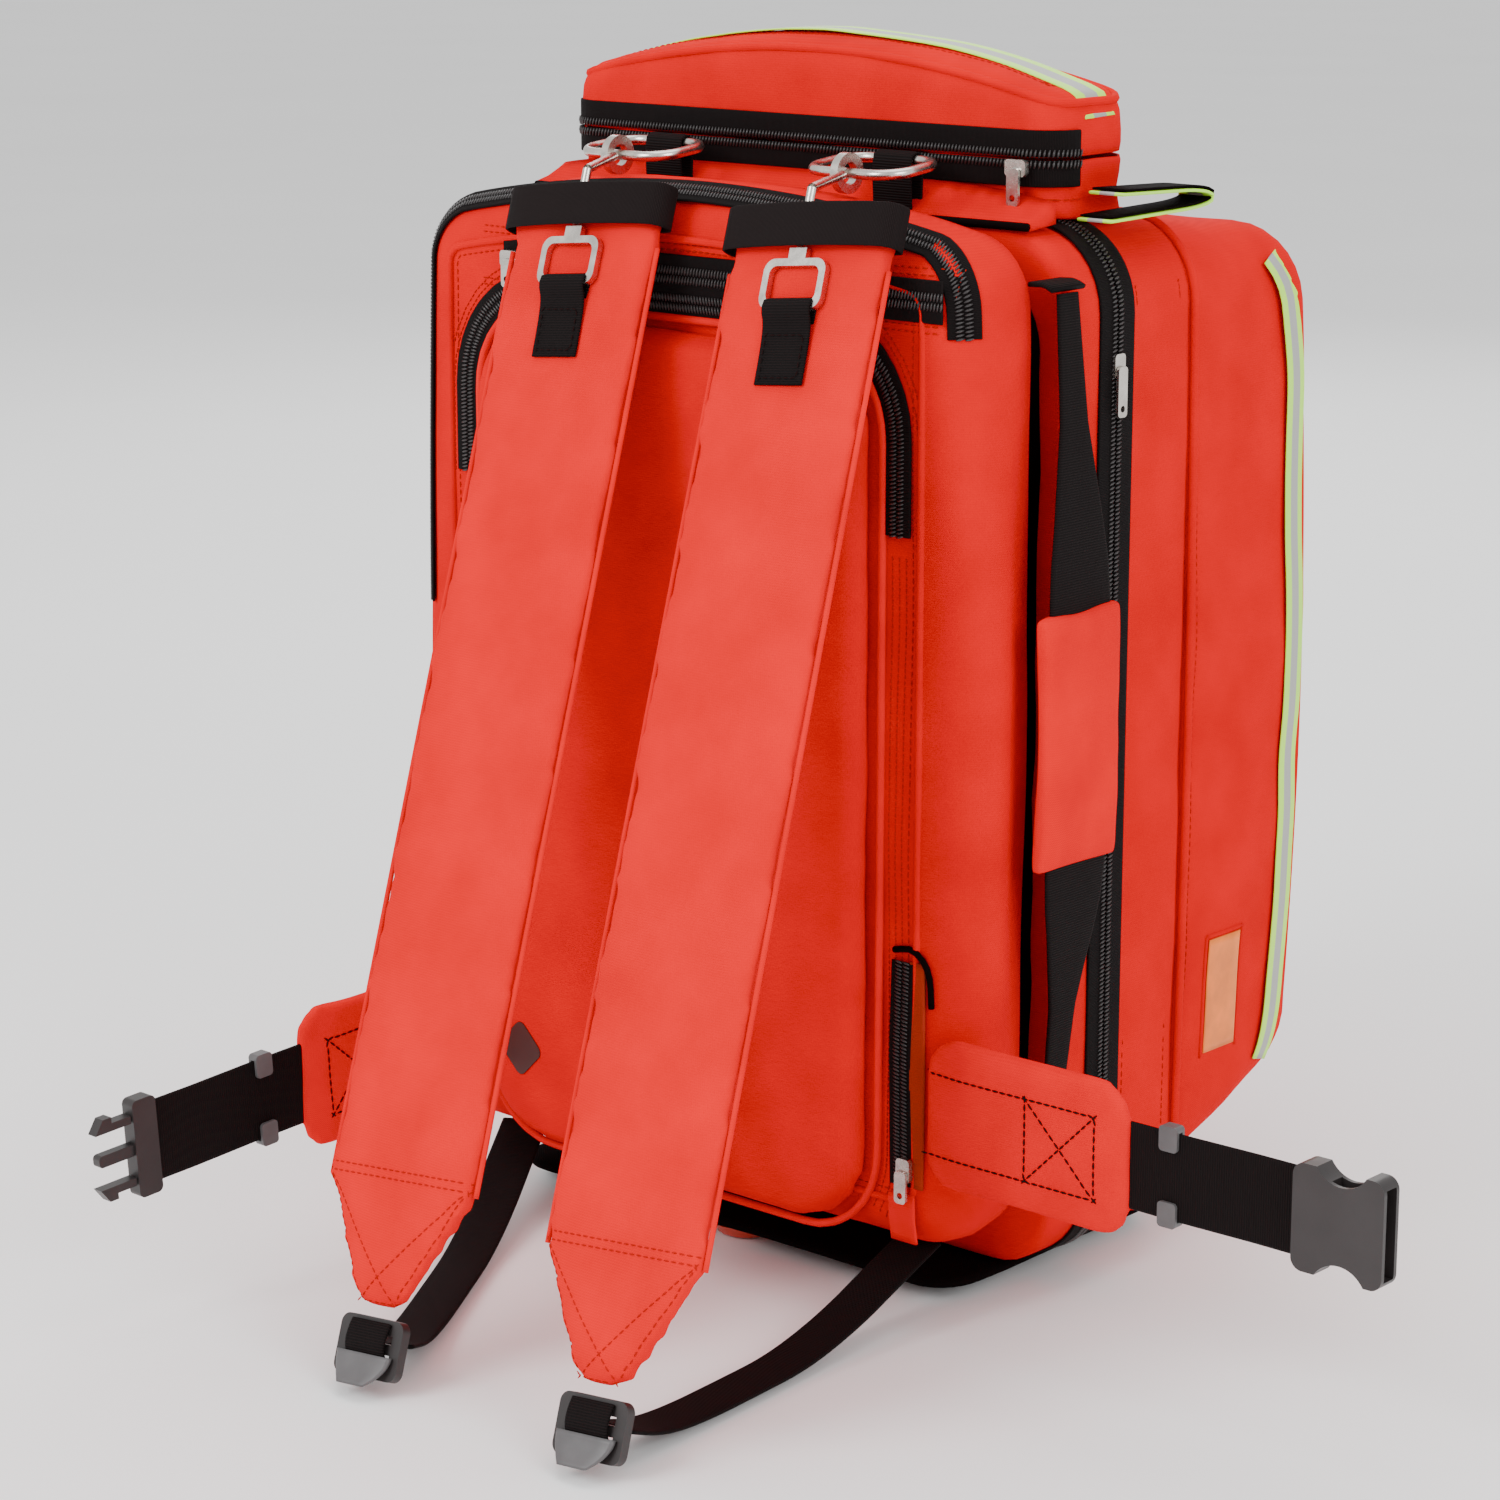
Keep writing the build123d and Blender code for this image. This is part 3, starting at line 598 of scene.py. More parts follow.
def inset(base, by, depth):
    """An upright ring, a distance inside an outline, at a depth."""
    pts, nrm = base
    return upright(pts - nrm * by, depth)


def bulged(ring, amount, low, high):
    """Push a ring's two upright sides outwards, most at mid height."""
    out = ring.copy()
    rise = np.clip((ring[:, 2] - low) / (high - low), 0, 1)
    side = np.clip(np.abs(ring[:, 0]) / np.abs(ring[:, 0]).max(), 0, 1) ** 6
    out[:, 0] += np.sign(ring[:, 0]) * amount * np.sin(math.pi * rise) * side
    return out


rear_rings = cap(inset(REAR, 6, Y_JOIN_A), 1, flat, 4)[::-1]
for by, y, out in ((6, Y_JOIN_A, 0), (1, Y_JOIN_A - 2, 2), (0, Y_JOIN_A - 10, 1), (-1, Y_ROLL + 7, 5),
                   (0, Y_ROLL, REAR_BULGE)):
    rear_rings.append(bulged(inset(REAR, by, y), out, REAR_LOW, REAR_TOP))
for t in np.linspace(0, math.pi / 2, 8)[1:]:
    ring = inset(REAR, ROLL * (1 - math.cos(t)), Y_ROLL - ROLL * math.sin(t))
    rear_rings.append(bulged(ring, REAR_BULGE * math.cos(t), REAR_LOW, REAR_TOP))
rear_rings += cap(rear_rings[-1], 1, flat, 14)
rear_skin = shell("rear_compartment", rear_rings, RED, "pack", 1.6, 60, 3.0, (1, 1, 0.5),
                  stands_for=("rear_panel", "rear_gusset"), slot="red_fabric")

JOIN = outline(168, 60, 514, 35)
join_rings = [inset(JOIN, b, y) for b, y in ((5, Y_JOIN_A - 1), (0, Y_JOIN_A + 1), (4, -72), (6, -68),
                                             (4, Y_JOIN_B - 5), (0, Y_JOIN_B - 0.5))]
shell("joining_gusset_skin", join_rings, BLACK, "pack", 1.5, 40, 5.0,
      stands_for=("joining_gusset",), slot="black_fabric")

main_rings = cap(inset(MAIN, 5, -47.5), 1, flat, 6)[::-1]
main_rings += [inset(MAIN, b, y) for b, y in ((5, -47.5), (4, -46), (4, -36), (4, -28), (3, -25),
                                              (1.5, Y_RIM - 0.2), (0.3, -25.2), (0, -28), (0, -36),
                                              (0, -46), (0, -53), (2, Y_JOIN_B + 1.5), (6, Y_JOIN_B))]
main_rings += cap(main_rings[-1], 1, flat, 5)
shell("main_body", main_rings, RED, "pack", 0.8, 45, 7.0, stands_for=("main_shell",), slot="red_fabric")

cover_base = outline(MAIN_HALF, COVER_LOW, MAIN_TOP, 40)
cover_rings = cap(inset(cover_base, 5, 37.5), 1, flat, 6)[::-1]
for b, y, out in ((5, 37.5, 0), (4, 36, 0), (4, 20, 0), (4, 0, 0), (4, -15, 0), (3, -18, 0),
                  (1.5, Y_COVER + 0.2, 0), (0.3, -17.8, 0), (0, -14, 0.5), (0, -2, 2), (0, 12, 3),
                  (0, 26, 3), (0, 35, 2), (1.5, Y_SEAM - 2, 1), (6, Y_SEAM, 0)):
    cover_rings.append(bulged(inset(cover_base, b, y), out, COVER_LOW, MAIN_TOP))
cover_rings += cap(cover_rings[-1], 1, flat, 5)
cover_skin = shell("cover_shell", cover_rings, RED, "cover", 0.8, 50, 9.0,
                   stands_for=("cover_gusset",), slot="red_fabric")


POCKET_LOW, POCKET_TOP = 32, 530     # at the seam with the cover
EDGE_ROLL = 22                       # radius of the front pocket's rolled edge


def pocket_ring(depth, by=0.0):
    """The front pocket's outline at a depth: it tapers towards the face and swells at mid height."""
    k = (depth - Y_SEAM) / (Y_FACE - Y_SEAM)
    base = outline(178 - 4 * k, POCKET_LOW + 46 * k, POCKET_TOP - 8 * k, 38)
    ring = inset(base, by, depth)
    rise = np.clip((ring[:, 2] - POCKET_LOW) / (POCKET_TOP - POCKET_LOW), 0, 1)
    ring[:, 1] += 11 * k * np.sin(math.pi * rise)
    swell = 7 * math.sin(math.pi * min(1.0, 0.15 + k)) + 3 * k
    return bulged(ring, swell, POCKET_LOW, POCKET_TOP)


def even(ring, count=190):
    """The same ring with a fixed number of evenly spaced points."""
    closed = np.vstack([ring, ring[:1]])
    run = np.r_[0, np.cumsum(np.linalg.norm(np.diff(closed, axis=0), axis=1))]
    at = np.linspace(0, run[-1], count, endpoint=False)
    return np.stack([np.interp(at, run, closed[:, k]) for k in range(3)], 1)


pocket_rings = [even(r) for r in cap(pocket_ring(Y_SEAM + 0.6, 6), 1, flat, 3)[::-1]]
pocket_rings += [even(pocket_ring(y, b)) for y, b in ((Y_SEAM + 0.6, 6), (Y_SEAM + 1.5, 2))]
pocket_rings += [even(pocket_ring(y)) for y in (46, 56, 68, 80, 92, 104, 116, 126, Y_FACE - EDGE_ROLL)]
for t in np.linspace(0, math.pi / 2, 7)[1:]:
    pocket_rings.append(even(pocket_ring(Y_FACE - EDGE_ROLL + EDGE_ROLL * math.sin(t),
                                         EDGE_ROLL * (1 - math.cos(t)))))
pocket_rings += cap(pocket_rings[-1], 1, lambda r, s: 8 * (1 - s ** 2), 14)
pocket_skin = shell("front_pocket_skin", pocket_rings, RED, "cover", 2.2, 75, 11.0,
                    stands_for=("front_pocket",), slot="red_fabric")


# ---- top pocket ----
TOP_HALF, TOP_MID = 157, -4
TOP_BASE = outline(TOP_HALF, -32, 32, 18)
TOP = (TOP_BASE[0] + [0, TOP_MID], TOP_BASE[1])


def top_ring(by, height):
    """A level ring of the top pocket, a distance inside its outline."""
    pts, nrm = TOP
    return level(pts - nrm * by, height)


tub_rings = cap(top_ring(4, 539.5), 2, flat, 4)[::-1]
tub_rings += [top_ring(b, z) for b, z in ((3.5, 539.5), (3, 542), (3, 552), (3, 562), (2, 564.2),
                                          (0.6, 564.3), (0, 562), (0.5, 556), (1.5, 549),
                                          (0.5, 543), (-0.5, 538), (3, 536.2))]
tub_rings += cap(tub_rings[-1], 2, flat, 3)
tub_skin = shell("top_tub_skin", tub_rings, RED, "pack", 1.6, 26, 13.0, (1, 1, 0.6),
                 stands_for=("top_tub",), slot="red_fabric")


LID_EDGE_Z, LID_ROLL, LID_CROWN = 581, 12, 22


def crown_of(x):
    """How far the lid's top rises above its ends."""
    return LID_CROWN * (1 - np.clip(np.abs(x) / TOP_HALF, 0, 1) ** 2)


def lid_ring(by, height, arch):
    """A ring of the lid that follows its crown in part or in full."""
    ring = top_ring(by, height)
    ring[:, 2] += crown_of(ring[:, 0]) * arch
    return ring


lid_rings = cap(lid_ring(7, 586, 1), 2, flat, 6)[::-1]
lid_rings += [lid_ring(b, z, a) for b, z, a in ((6, 586, 0.95), (3, 580, 0.7), (3, 572, 0.3), (2.5, 567, 0),
                                                (1.5, 565.4, 0), (0.3, 565.8, 0), (-0.5, 570, 0.2),
                                                (-0.5, 576, 0.45), (0, LID_EDGE_Z, 0.8))]
for t in np.linspace(0, math.pi / 2, 7)[1:]:
    lid_rings.append(lid_ring(LID_ROLL * (1 - math.cos(t)), LID_EDGE_Z + LID_ROLL * math.sin(t),
                              0.8 + 0.2 * math.sin(t)))
edge_ring = lid_rings[-1]
for s in np.linspace(1, 0.03, 13)[1:]:
    r = edge_ring.mean(0) + (edge_ring - edge_ring.mean(0)) * s
    r[:, 2] = LID_EDGE_Z + LID_ROLL + crown_of(r[:, 0]) + 3 * (1 - s ** 2)
    lid_rings.append(r)
lid_skin = shell("top_lid_skin", lid_rings, RED, "lid", 1.4, 55, 17.0, stands_for=("top_lid",),
                 slot="red_fabric")

BASE = outline(150, -90.5, 90.5, 25)
BASE_MID = -6.5
base_rings = [level(BASE[0] - BASE[1] * b + [0, BASE_MID], z)
              for b, z in ((9, 18.1), (3, 18.3), (0.5, 19.5), (0, 21), (0.5, 22.5), (4, 23.8))]
shell("base_skin", cap(base_rings[0], 2, flat, 4)[::-1] + base_rings + cap(base_rings[-1], 2, flat, 4),
      BLACK, "pack", 0.5, 40, 19.0, stands_for=("base_panel",), slot="black_fabric")


# ---- padded pieces, swollen by cloth simulation ----
CLOTH_FRAMES = 20     # length of the simulation
PRESS_AROUND = 14     # how far beyond a sewn piece its pad is drawn in


def evaluated(piece):
    """A piece's mesh with its modifiers applied."""
    graph = bpy.context.evaluated_depsgraph_get()
    return bpy.data.meshes.new_from_object(piece.evaluated_get(graph))


def puff(node, name, mat, body, cap_mm, voxel=0.005, thin=0.8, dents=0.5, slot_name="red_fabric",
         seed=1.0, under_piece=None):
    """A CAD pad, remeshed, swollen with cloth pressure, its movement capped, then subdivided. It is
    held down under a piece sewn on its -Y face, if one is named."""
    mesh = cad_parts[node].data.copy()
    mesh.materials.clear()
    work = bpy.data.objects.new(name + "_work", mesh)
    scene.collection.objects.link(work)
    mod = work.modifiers.new("remesh", "REMESH")
    mod.mode, mod.voxel_size = "VOXEL", voxel
    work.data = evaluated(work)
    work.modifiers.clear()
    start, normal = vectors(work.data, "co"), vectors(work.data, "normal")
    start = start - normal * thin / 1000
    move(work.data, start)
    moved = start
    cloth = work.modifiers.new("cloth", "CLOTH")
    cloth.settings.quality = 4
    cloth.settings.mass = 0.3
    cloth.settings.use_pressure = True
    cloth.settings.uniform_pressure_force = 4
    cloth.settings.effector_weights.gravity = 0
    for frame_number in range(1, CLOTH_FRAMES + 1):
        scene.frame_set(frame_number)
    moved = vectors(evaluated(work), "co")
    scene.frame_set(1)
    work.modifiers.clear()
    step = moved - start
    far = np.linalg.norm(step, axis=1, keepdims=True)
    moved = start + step * np.minimum(1, cap_mm / 1000 / np.maximum(far, 1e-9))
    moved += normal * (crumple(to_mm(moved), dents, 45, seed) / 1000)[:, None]
    if under_piece:
        low, high = (np.array(c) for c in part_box(under_piece))
        away = np.maximum(np.maximum(low - moved, moved - high)[:, [0, 2]].max(1), 0) * 1000
        limit = high[1] - 0.0004 - 0.004 * np.clip(away / PRESS_AROUND, 0, 1) ** 2
        moved[:, 1] = np.maximum(moved[:, 1], np.where(away < PRESS_AROUND, limit, -9))
    move(work.data, moved)
    mod = work.modifiers.new("smooth", "SUBSURF")
    mod.levels = mod.render_levels = 1
    final = evaluated(work)
    bpy.data.objects.remove(work)
    piece = place(name, final, mat, body, (node,), slot_name)
    return piece


puff("back_pad", "back_cushion", RED, "pack", 3, 0.006, thin=1.0, dents=1.6, seed=2.0,
     under_piece="patch")

# ---- rear face: piping, zippers, stitch rows ----
OUT = np.array([0.0, -1.0, 0.0])
SEWN_Y = Y_REAR + 1       # stitch rows start here and are draped onto the skin
edge_pts, edge_nrm = run_of(REAR, (178, 490), (-178, 330))
# How far round the rolled edge the zipper lies: less along the top, where the straps pass.
lie = np.radians(30 + 17 * np.abs(edge_nrm[:, 0]))
across_lie, out_lie = np.cos(lie), np.sin(lie)
edge_in = edge_pts - edge_nrm * (ROLL * (1 - across_lie))[:, None]
edge_path = np.stack([edge_in[:, 0], Y_ROLL - ROLL * out_lie, edge_in[:, 1]], 1)
edge_path = edge_path + (bulged(edge_path, REAR_BULGE, REAR_LOW, REAR_TOP) - edge_path) * across_lie[:, None]
edge_n = np.stack([edge_nrm[:, 0] * across_lie, -out_lie, edge_nrm[:, 1] * across_lie], 1)
edge_across = np.stack([edge_nrm[:, 0] * out_lie, across_lie, edge_nrm[:, 1] * out_lie], 1)
edge_path = edge_path + edge_n * 0.1
zipper("rear_edge", edge_path, edge_across, edge_n, "pack", 8, stands_for=("rear_zip_chains",),
       slot="zip_chain")



def rear_row(name, path, **more):
    """A stitch row on the rear face."""
    stitches(name, path, THREAD, "pack", rear_skin, -OUT, **more)


RIM_IN = 26               # from the rear outline in to its flat face
tube("rear_piping", inset(REAR, RIM_IN - 1, Y_REAR - 0.4), 1.9, RED, "pack", closed=True)
rear_row("rear_seam", inset(REAR, RIM_IN + 4, SEWN_Y), closed=True)

PANEL = outline(140, 44, 495, 52)
arc_pts, arc_nrm = run_of(PANEL, (140, 395), (-140, 400))
zipper("panel_arc", upright(arc_pts, Y_REAR - 1.6), upright(arc_nrm, 0), OUT, "pack", 8)
pad_pts, pad_nrm = outline(131, 52, 487, 45)
tube("pad_piping", upright(pad_pts + pad_nrm * 0.5, Y_REAR - 2), 2.0, RED_PAD, "pack", closed=True)
run_pts, run_nrm = run_of(PANEL, (141, 60), (140, 390))
for k, off in enumerate((-4, 0, 4)):
    rear_row(f"placket_seam_{k}", upright(run_pts + run_nrm * off, SEWN_Y), length=2.2, pitch=2.9)
for k, off in enumerate((11, 14)):
    rear_row(f"arc_seam_{k}", upright(arc_pts + arc_nrm * off, SEWN_Y), length=2.2, pitch=3.0)

WINDOW_Z = 508
zipper("window", [(x, Y_REAR - 1.4, WINDOW_Z) for x in (-113, 165)], (0, 0, 1), OUT, "pack", 10)
for k, rise in enumerate((-14.5, -11.5, 11.5, 14.5)):
    rear_row(f"window_seam_{k}", [(x, SEWN_Y, WINDOW_Z + rise) for x in (-128, 160)])
rear_row("window_end", [(168.5, SEWN_Y, WINDOW_Z + rise) for rise in (-14, 14)])

# The slot that the right hip wing leaves through: zipper edge, dark lining and a red fly.
zipper("slot", [(146, -128.5, 195), (145, -128.7, 150), (146, -128.5, 84)], (1, 0, 0), OUT, "pack", 7)
ribbon("slot_lining", [(154.5, -128.2, 196), (155, -128.6, 140), (154.5, -128.2, 84)], (1, 0, 0), 9, 1.6,
       RED_LINING, "pack")
tube("slot_piping", rounded([(140, -128, 200), (152, -128.6, 203), (162, -128.4, 194), (162, -127, 175)], 3),
     1.6, BLACK, "pack")
ribbon("slot_tab", [(147, -129.6, 80), (148, -130.4, 68), (148, -128.2, 56)], (1, 0, 0), 16, 1.8, RED_PAD,
       "pack")

# ---- sides and main zipper ----
main_pts, main_nrm = run_of((np.roll(MAIN[0], len(MAIN[0]) // 2, 0), np.roll(MAIN[1], len(MAIN[0]) // 2, 0)),
                            (-140, 25), (-140, 535))
ZIP_OVER = 1.0      # how far the coil of a zipper that parts stands off its outline
zip_line = main_pts + main_nrm * ZIP_OVER
for body, tape_y, row_y in (("pack", -28.0, -23.7), ("cover", -14.2, -19.1)):
    half_zipper("main", body, upright(zip_line, tape_y), upright(zip_line, row_y), (0, 1, 0),
                upright(main_nrm, 0))
ribbon("hinge_cloth", [(-184.0, -25.5, 62), (-184.2, -25.5, 280), (-184.0, -25.5, 500)], (0, 1, 0),
       9, 1.4, RED, "pack")    # covers the hinge line on the bag's left side
cover_pts, cover_nrm = cover_base
cover_n = upright(cover_nrm, 0)
for k, y in enumerate((-4.5, 30)):
    stitches(f"cover_seam_{k}", upright(cover_pts, y), THREAD, "cover", cover_skin, -cover_n, closed=True)
tube("cover_piping", bulged(upright(cover_pts + cover_nrm * -0.5, 42.2), 3, COVER_LOW, MAIN_TOP), 2.2, RED,
     "cover", closed=True)
tube("pocket_piping", even(pocket_ring(151, 7.5)), 2.0, RED, "cover", closed=True)
seam = even(pocket_ring(50))
stitches("pocket_seam", seam, THREAD, "cover", pocket_skin, -unit(seam - [0, 50, 280]) * [1, 0, 1],
         closed=True)

for side, name in ((-1, "left"), (1, "right")):
    away = np.array([side * 1.0, 0.25, 0.0])
    z = np.linspace(92, 508, 60)
    y = 139.0 - 12 * (np.abs(z - 300) / 208) ** 6
    raw = np.stack([np.full(len(z), side * 176.0), y, z], 1)
    laid = drape(raw, pocket_skin, -away, 0.9)
    extra = dict(stands_for=("pocket_tapes",), slot="reflective") if side > 0 else {}
    ribbon(f"pocket_tape_{name}", laid, np.array([-side * 0.22, 0.97, 0.0]), 22, 1.0, LIME, "cover", **extra)
    stitches(f"side_seam_{name}", [(side * 183, -50, 60), (side * 183, -50, 500)], THREAD, "pack",
             bpy.data.objects["main_body"], (-side, 0, 0))

# The label window, with piping on three sides, laid on the swollen pocket.
LABEL_X, LABEL_Y, LABEL_TOP = 178, (66.5, 97.5), 172
film = drape([(LABEL_X, 82, z) for z in np.linspace(110, 170, 16)], pocket_skin, (-1, 0, 0), 0.3)
ribbon("label_film", film, (0, 1, 0), 27, 1.0, LABEL, "cover", stands_for=("label_window",),
       slot="label_plastic")
for k, y in enumerate(LABEL_Y):
    edge = [(LABEL_X, y, z) for z in np.linspace(108, LABEL_TOP, 16)]
    tube(f"label_edge_{k}", drape(edge, pocket_skin, (-1, 0, 0), 0.2), 1.0, RED, "cover")
edge = [(LABEL_X, y, LABEL_TOP) for y in np.linspace(*LABEL_Y, 8)]
tube("label_edge_top", drape(edge, pocket_skin, (-1, 0, 0), 0.2), 1.0, RED, "cover")

# ---- top pocket details ----
top_pts, top_nrm = run_of(TOP, (-TOP_HALF, 10), (TOP_HALF, -14))
for body, tape_z, row_z in (("pack", 558.3, 562.6), ("lid", 572.3, 567.6)):
    half_zipper("top", body, level(top_pts + top_nrm * 0.9, tape_z),
                level(top_pts + top_nrm * ZIP_OVER, row_z), (0, 0, 1), level(top_nrm, 0))
tube("lid_piping", lid_ring(3.4, 589.5, 0.95), 2.2, RED, "lid", closed=True)
x = np.linspace(-150, 156, 50)
strip = np.stack([x, -6 + 6 * (x / TOP_HALF) ** 2, np.full(len(x), 600.0)], 1)
strip = drape(strip, lid_skin, (0, 0, -1), 0.7)
ribbon("lid_tape", strip, (0, 1, 0), 24, 1.0, LIME, "lid")
for k, d in enumerate((5.5, 9)):
    stitches(f"lid_seam_{k}", lid_ring(LID_ROLL + d, 600, 1), THREAD, "lid", lid_skin, (0, 0, -1),
             closed=True)
stitches("tub_seam", top_ring(0, 546), THREAD, "pack", tub_skin,
         -unit(top_ring(0, 0) - [0, TOP_MID, 0]) * [1, 1, 0], closed=True)

# The stitched collar that slopes from the top pocket down to the shell.
# Each of its sections is a closed ring of six points.
COLLAR_HALF, SECTIONS, AROUND = 159, 60, 6
collar = []
for x0 in np.linspace(-COLLAR_HALF, COLLAR_HALF, SECTIONS):
    fade = 1 - 0.5 * (abs(x0) / COLLAR_HALF) ** 4
    pleat = 1.8 * math.sin(x0 * 0.55) * (abs(x0) / COLLAR_HALF) ** 2
    collar += [(x0, -57, 534),
               (x0, -58, 537 + pleat),
               (x0, -50, 541 * fade + 537 * (1 - fade) + pleat),
               (x0, -42, 547 * fade + 538 * (1 - fade) + pleat),
               (x0, -37, 553 * fade + 539 * (1 - fade)),
               (x0, -37, 536)]
ends = [tuple(range(AROUND)), tuple(range(AROUND * (SECTIONS - 1), AROUND * SECTIONS))]
add("collar", collar, quads(SECTIONS, AROUND) + ends, RED, "pack")
tube("collar_piping", [(-COLLAR_HALF, -58.5, 536), (COLLAR_HALF, -58.5, 536)], 2.0, BLACK, "pack")

# The folded hook-and-loop tab with its reflective face.
TAB_X = 172.5
FOLD = ((-25, 537.6), (10, 538.4), (50, 539.2), (60, 543.5), (48, 547.5), (16, 548.5), (-16, 549.5))
fold = rounded([(TAB_X, y, z) for y, z in FOLD], 3)
ribbon("tab_face", fold, (1, 0, 0), 21, 1.6, LIME, "reflective_tab", stands_for=("reflective_tab",),
       slot="reflective")
ribbon("tab_backing", fold + [0, 1.2, 1.8], (1, 0, 0), 19, 1.2, BLACK, "reflective_tab")

# ---- side handles ----
BAND_Y, BAND_ENDS = -67, (112, 510)
BAND_CURVE = ((189, 121), (194, 175), (200, 226), (200, 300), (200, 378), (195, 440), (189, 509))
# The band is narrow at its ends and wide under the grip.
WIDTH_AT_Z, BAND_WIDTH = (121, 170, 228, 377, 450, 509), (15, 20, 46, 46, 20, 15)
for side, name in ((-1, "left"), (1, "right")):
    band = rounded([(side * x, BAND_Y, z) for x, z in BAND_CURVE], 2)
    spreading = np.interp(band[:, 2], WIDTH_AT_Z, BAND_WIDTH)
    ribbon(f"handle_webbing_{name}", band, (0, 1, 0), spreading, 2.2, WEB, f"{name}_handle",
           stands_for=(f"handle_band_{name}",), slot="black_fabric")
    puff(f"handle_grip_{name}", f"grip_{name}", RED_PAD, f"{name}_handle", 1.6, 0.0045, thin=0.5,
         dents=1.0, seed=4.0 + side)
    for low in BAND_ENDS:
        upper = low == BAND_ENDS[1]
        end = [(side * 176, BAND_Y, low + 3), (side * 184.5, BAND_Y, low + 3.4),
               (side * 189.5, BAND_Y, low + (1.0 if upper else 5.5))]
        ribbon(f"band_end_{name}_{low}", end, (0, 1, 0), 26, 2.4, WEB, "pack",
               stands_for=("band_anchors",) if upper and side > 0 else (), slot="black_fabric")

# ---- D-ring anchors ----
RING_X = 74
LOOP = ((-53.5, 535.5), (-54.5, 556), (-54.4, 565.5), (-45.6, 565.5), (-45.5, 556), (-46.5, 535.5))
for side, name in ((-1, "left"), (1, "right")):
    loop = rounded([(side * RING_X, y, z) for y, z in LOOP], 3)
    ribbon(f"ring_loop_{name}", loop, (1, 0, 0), 24, 1.6, WEB, "pack",
           stands_for=("ring_anchors",) if side > 0 else (), slot="black_fabric")

# ---- shoulder straps ----
# The strap heads lie HEAD_X either side of a line LEAN right of the middle. A pad runs from its
# head to its tip by RUN, and has its own directions across, down and outward.
HEAD_Y, HEAD_Z, HEAD_X, LEAN = -141.0, 529.0, 71.0, 28.0
RUN = np.array([50.0, -200.0, -484.0])
PAD_L = float(np.linalg.norm(RUN))
DOWN = RUN / PAD_L
ACROSS = unit(np.array([1.0, 0, 0]) - DOWN * DOWN[0])
OUTWARD = np.cross(DOWN, ACROSS)


def strap(side, points):
    """Points given on a pad, (across, up, out), in layout millimetres."""
    p = np.atleast_2d(np.asarray(points, float))
    head = np.array([LEAN + side * HEAD_X, HEAD_Y, HEAD_Z])
    return head + p[:, :1] * ACROSS - p[:, 1:2] * DOWN + p[:, 2:] * OUTWARD


TIP = -PAD_L            # the padded tip, in a pad's own up direction
TONGUE_ROWS = 9
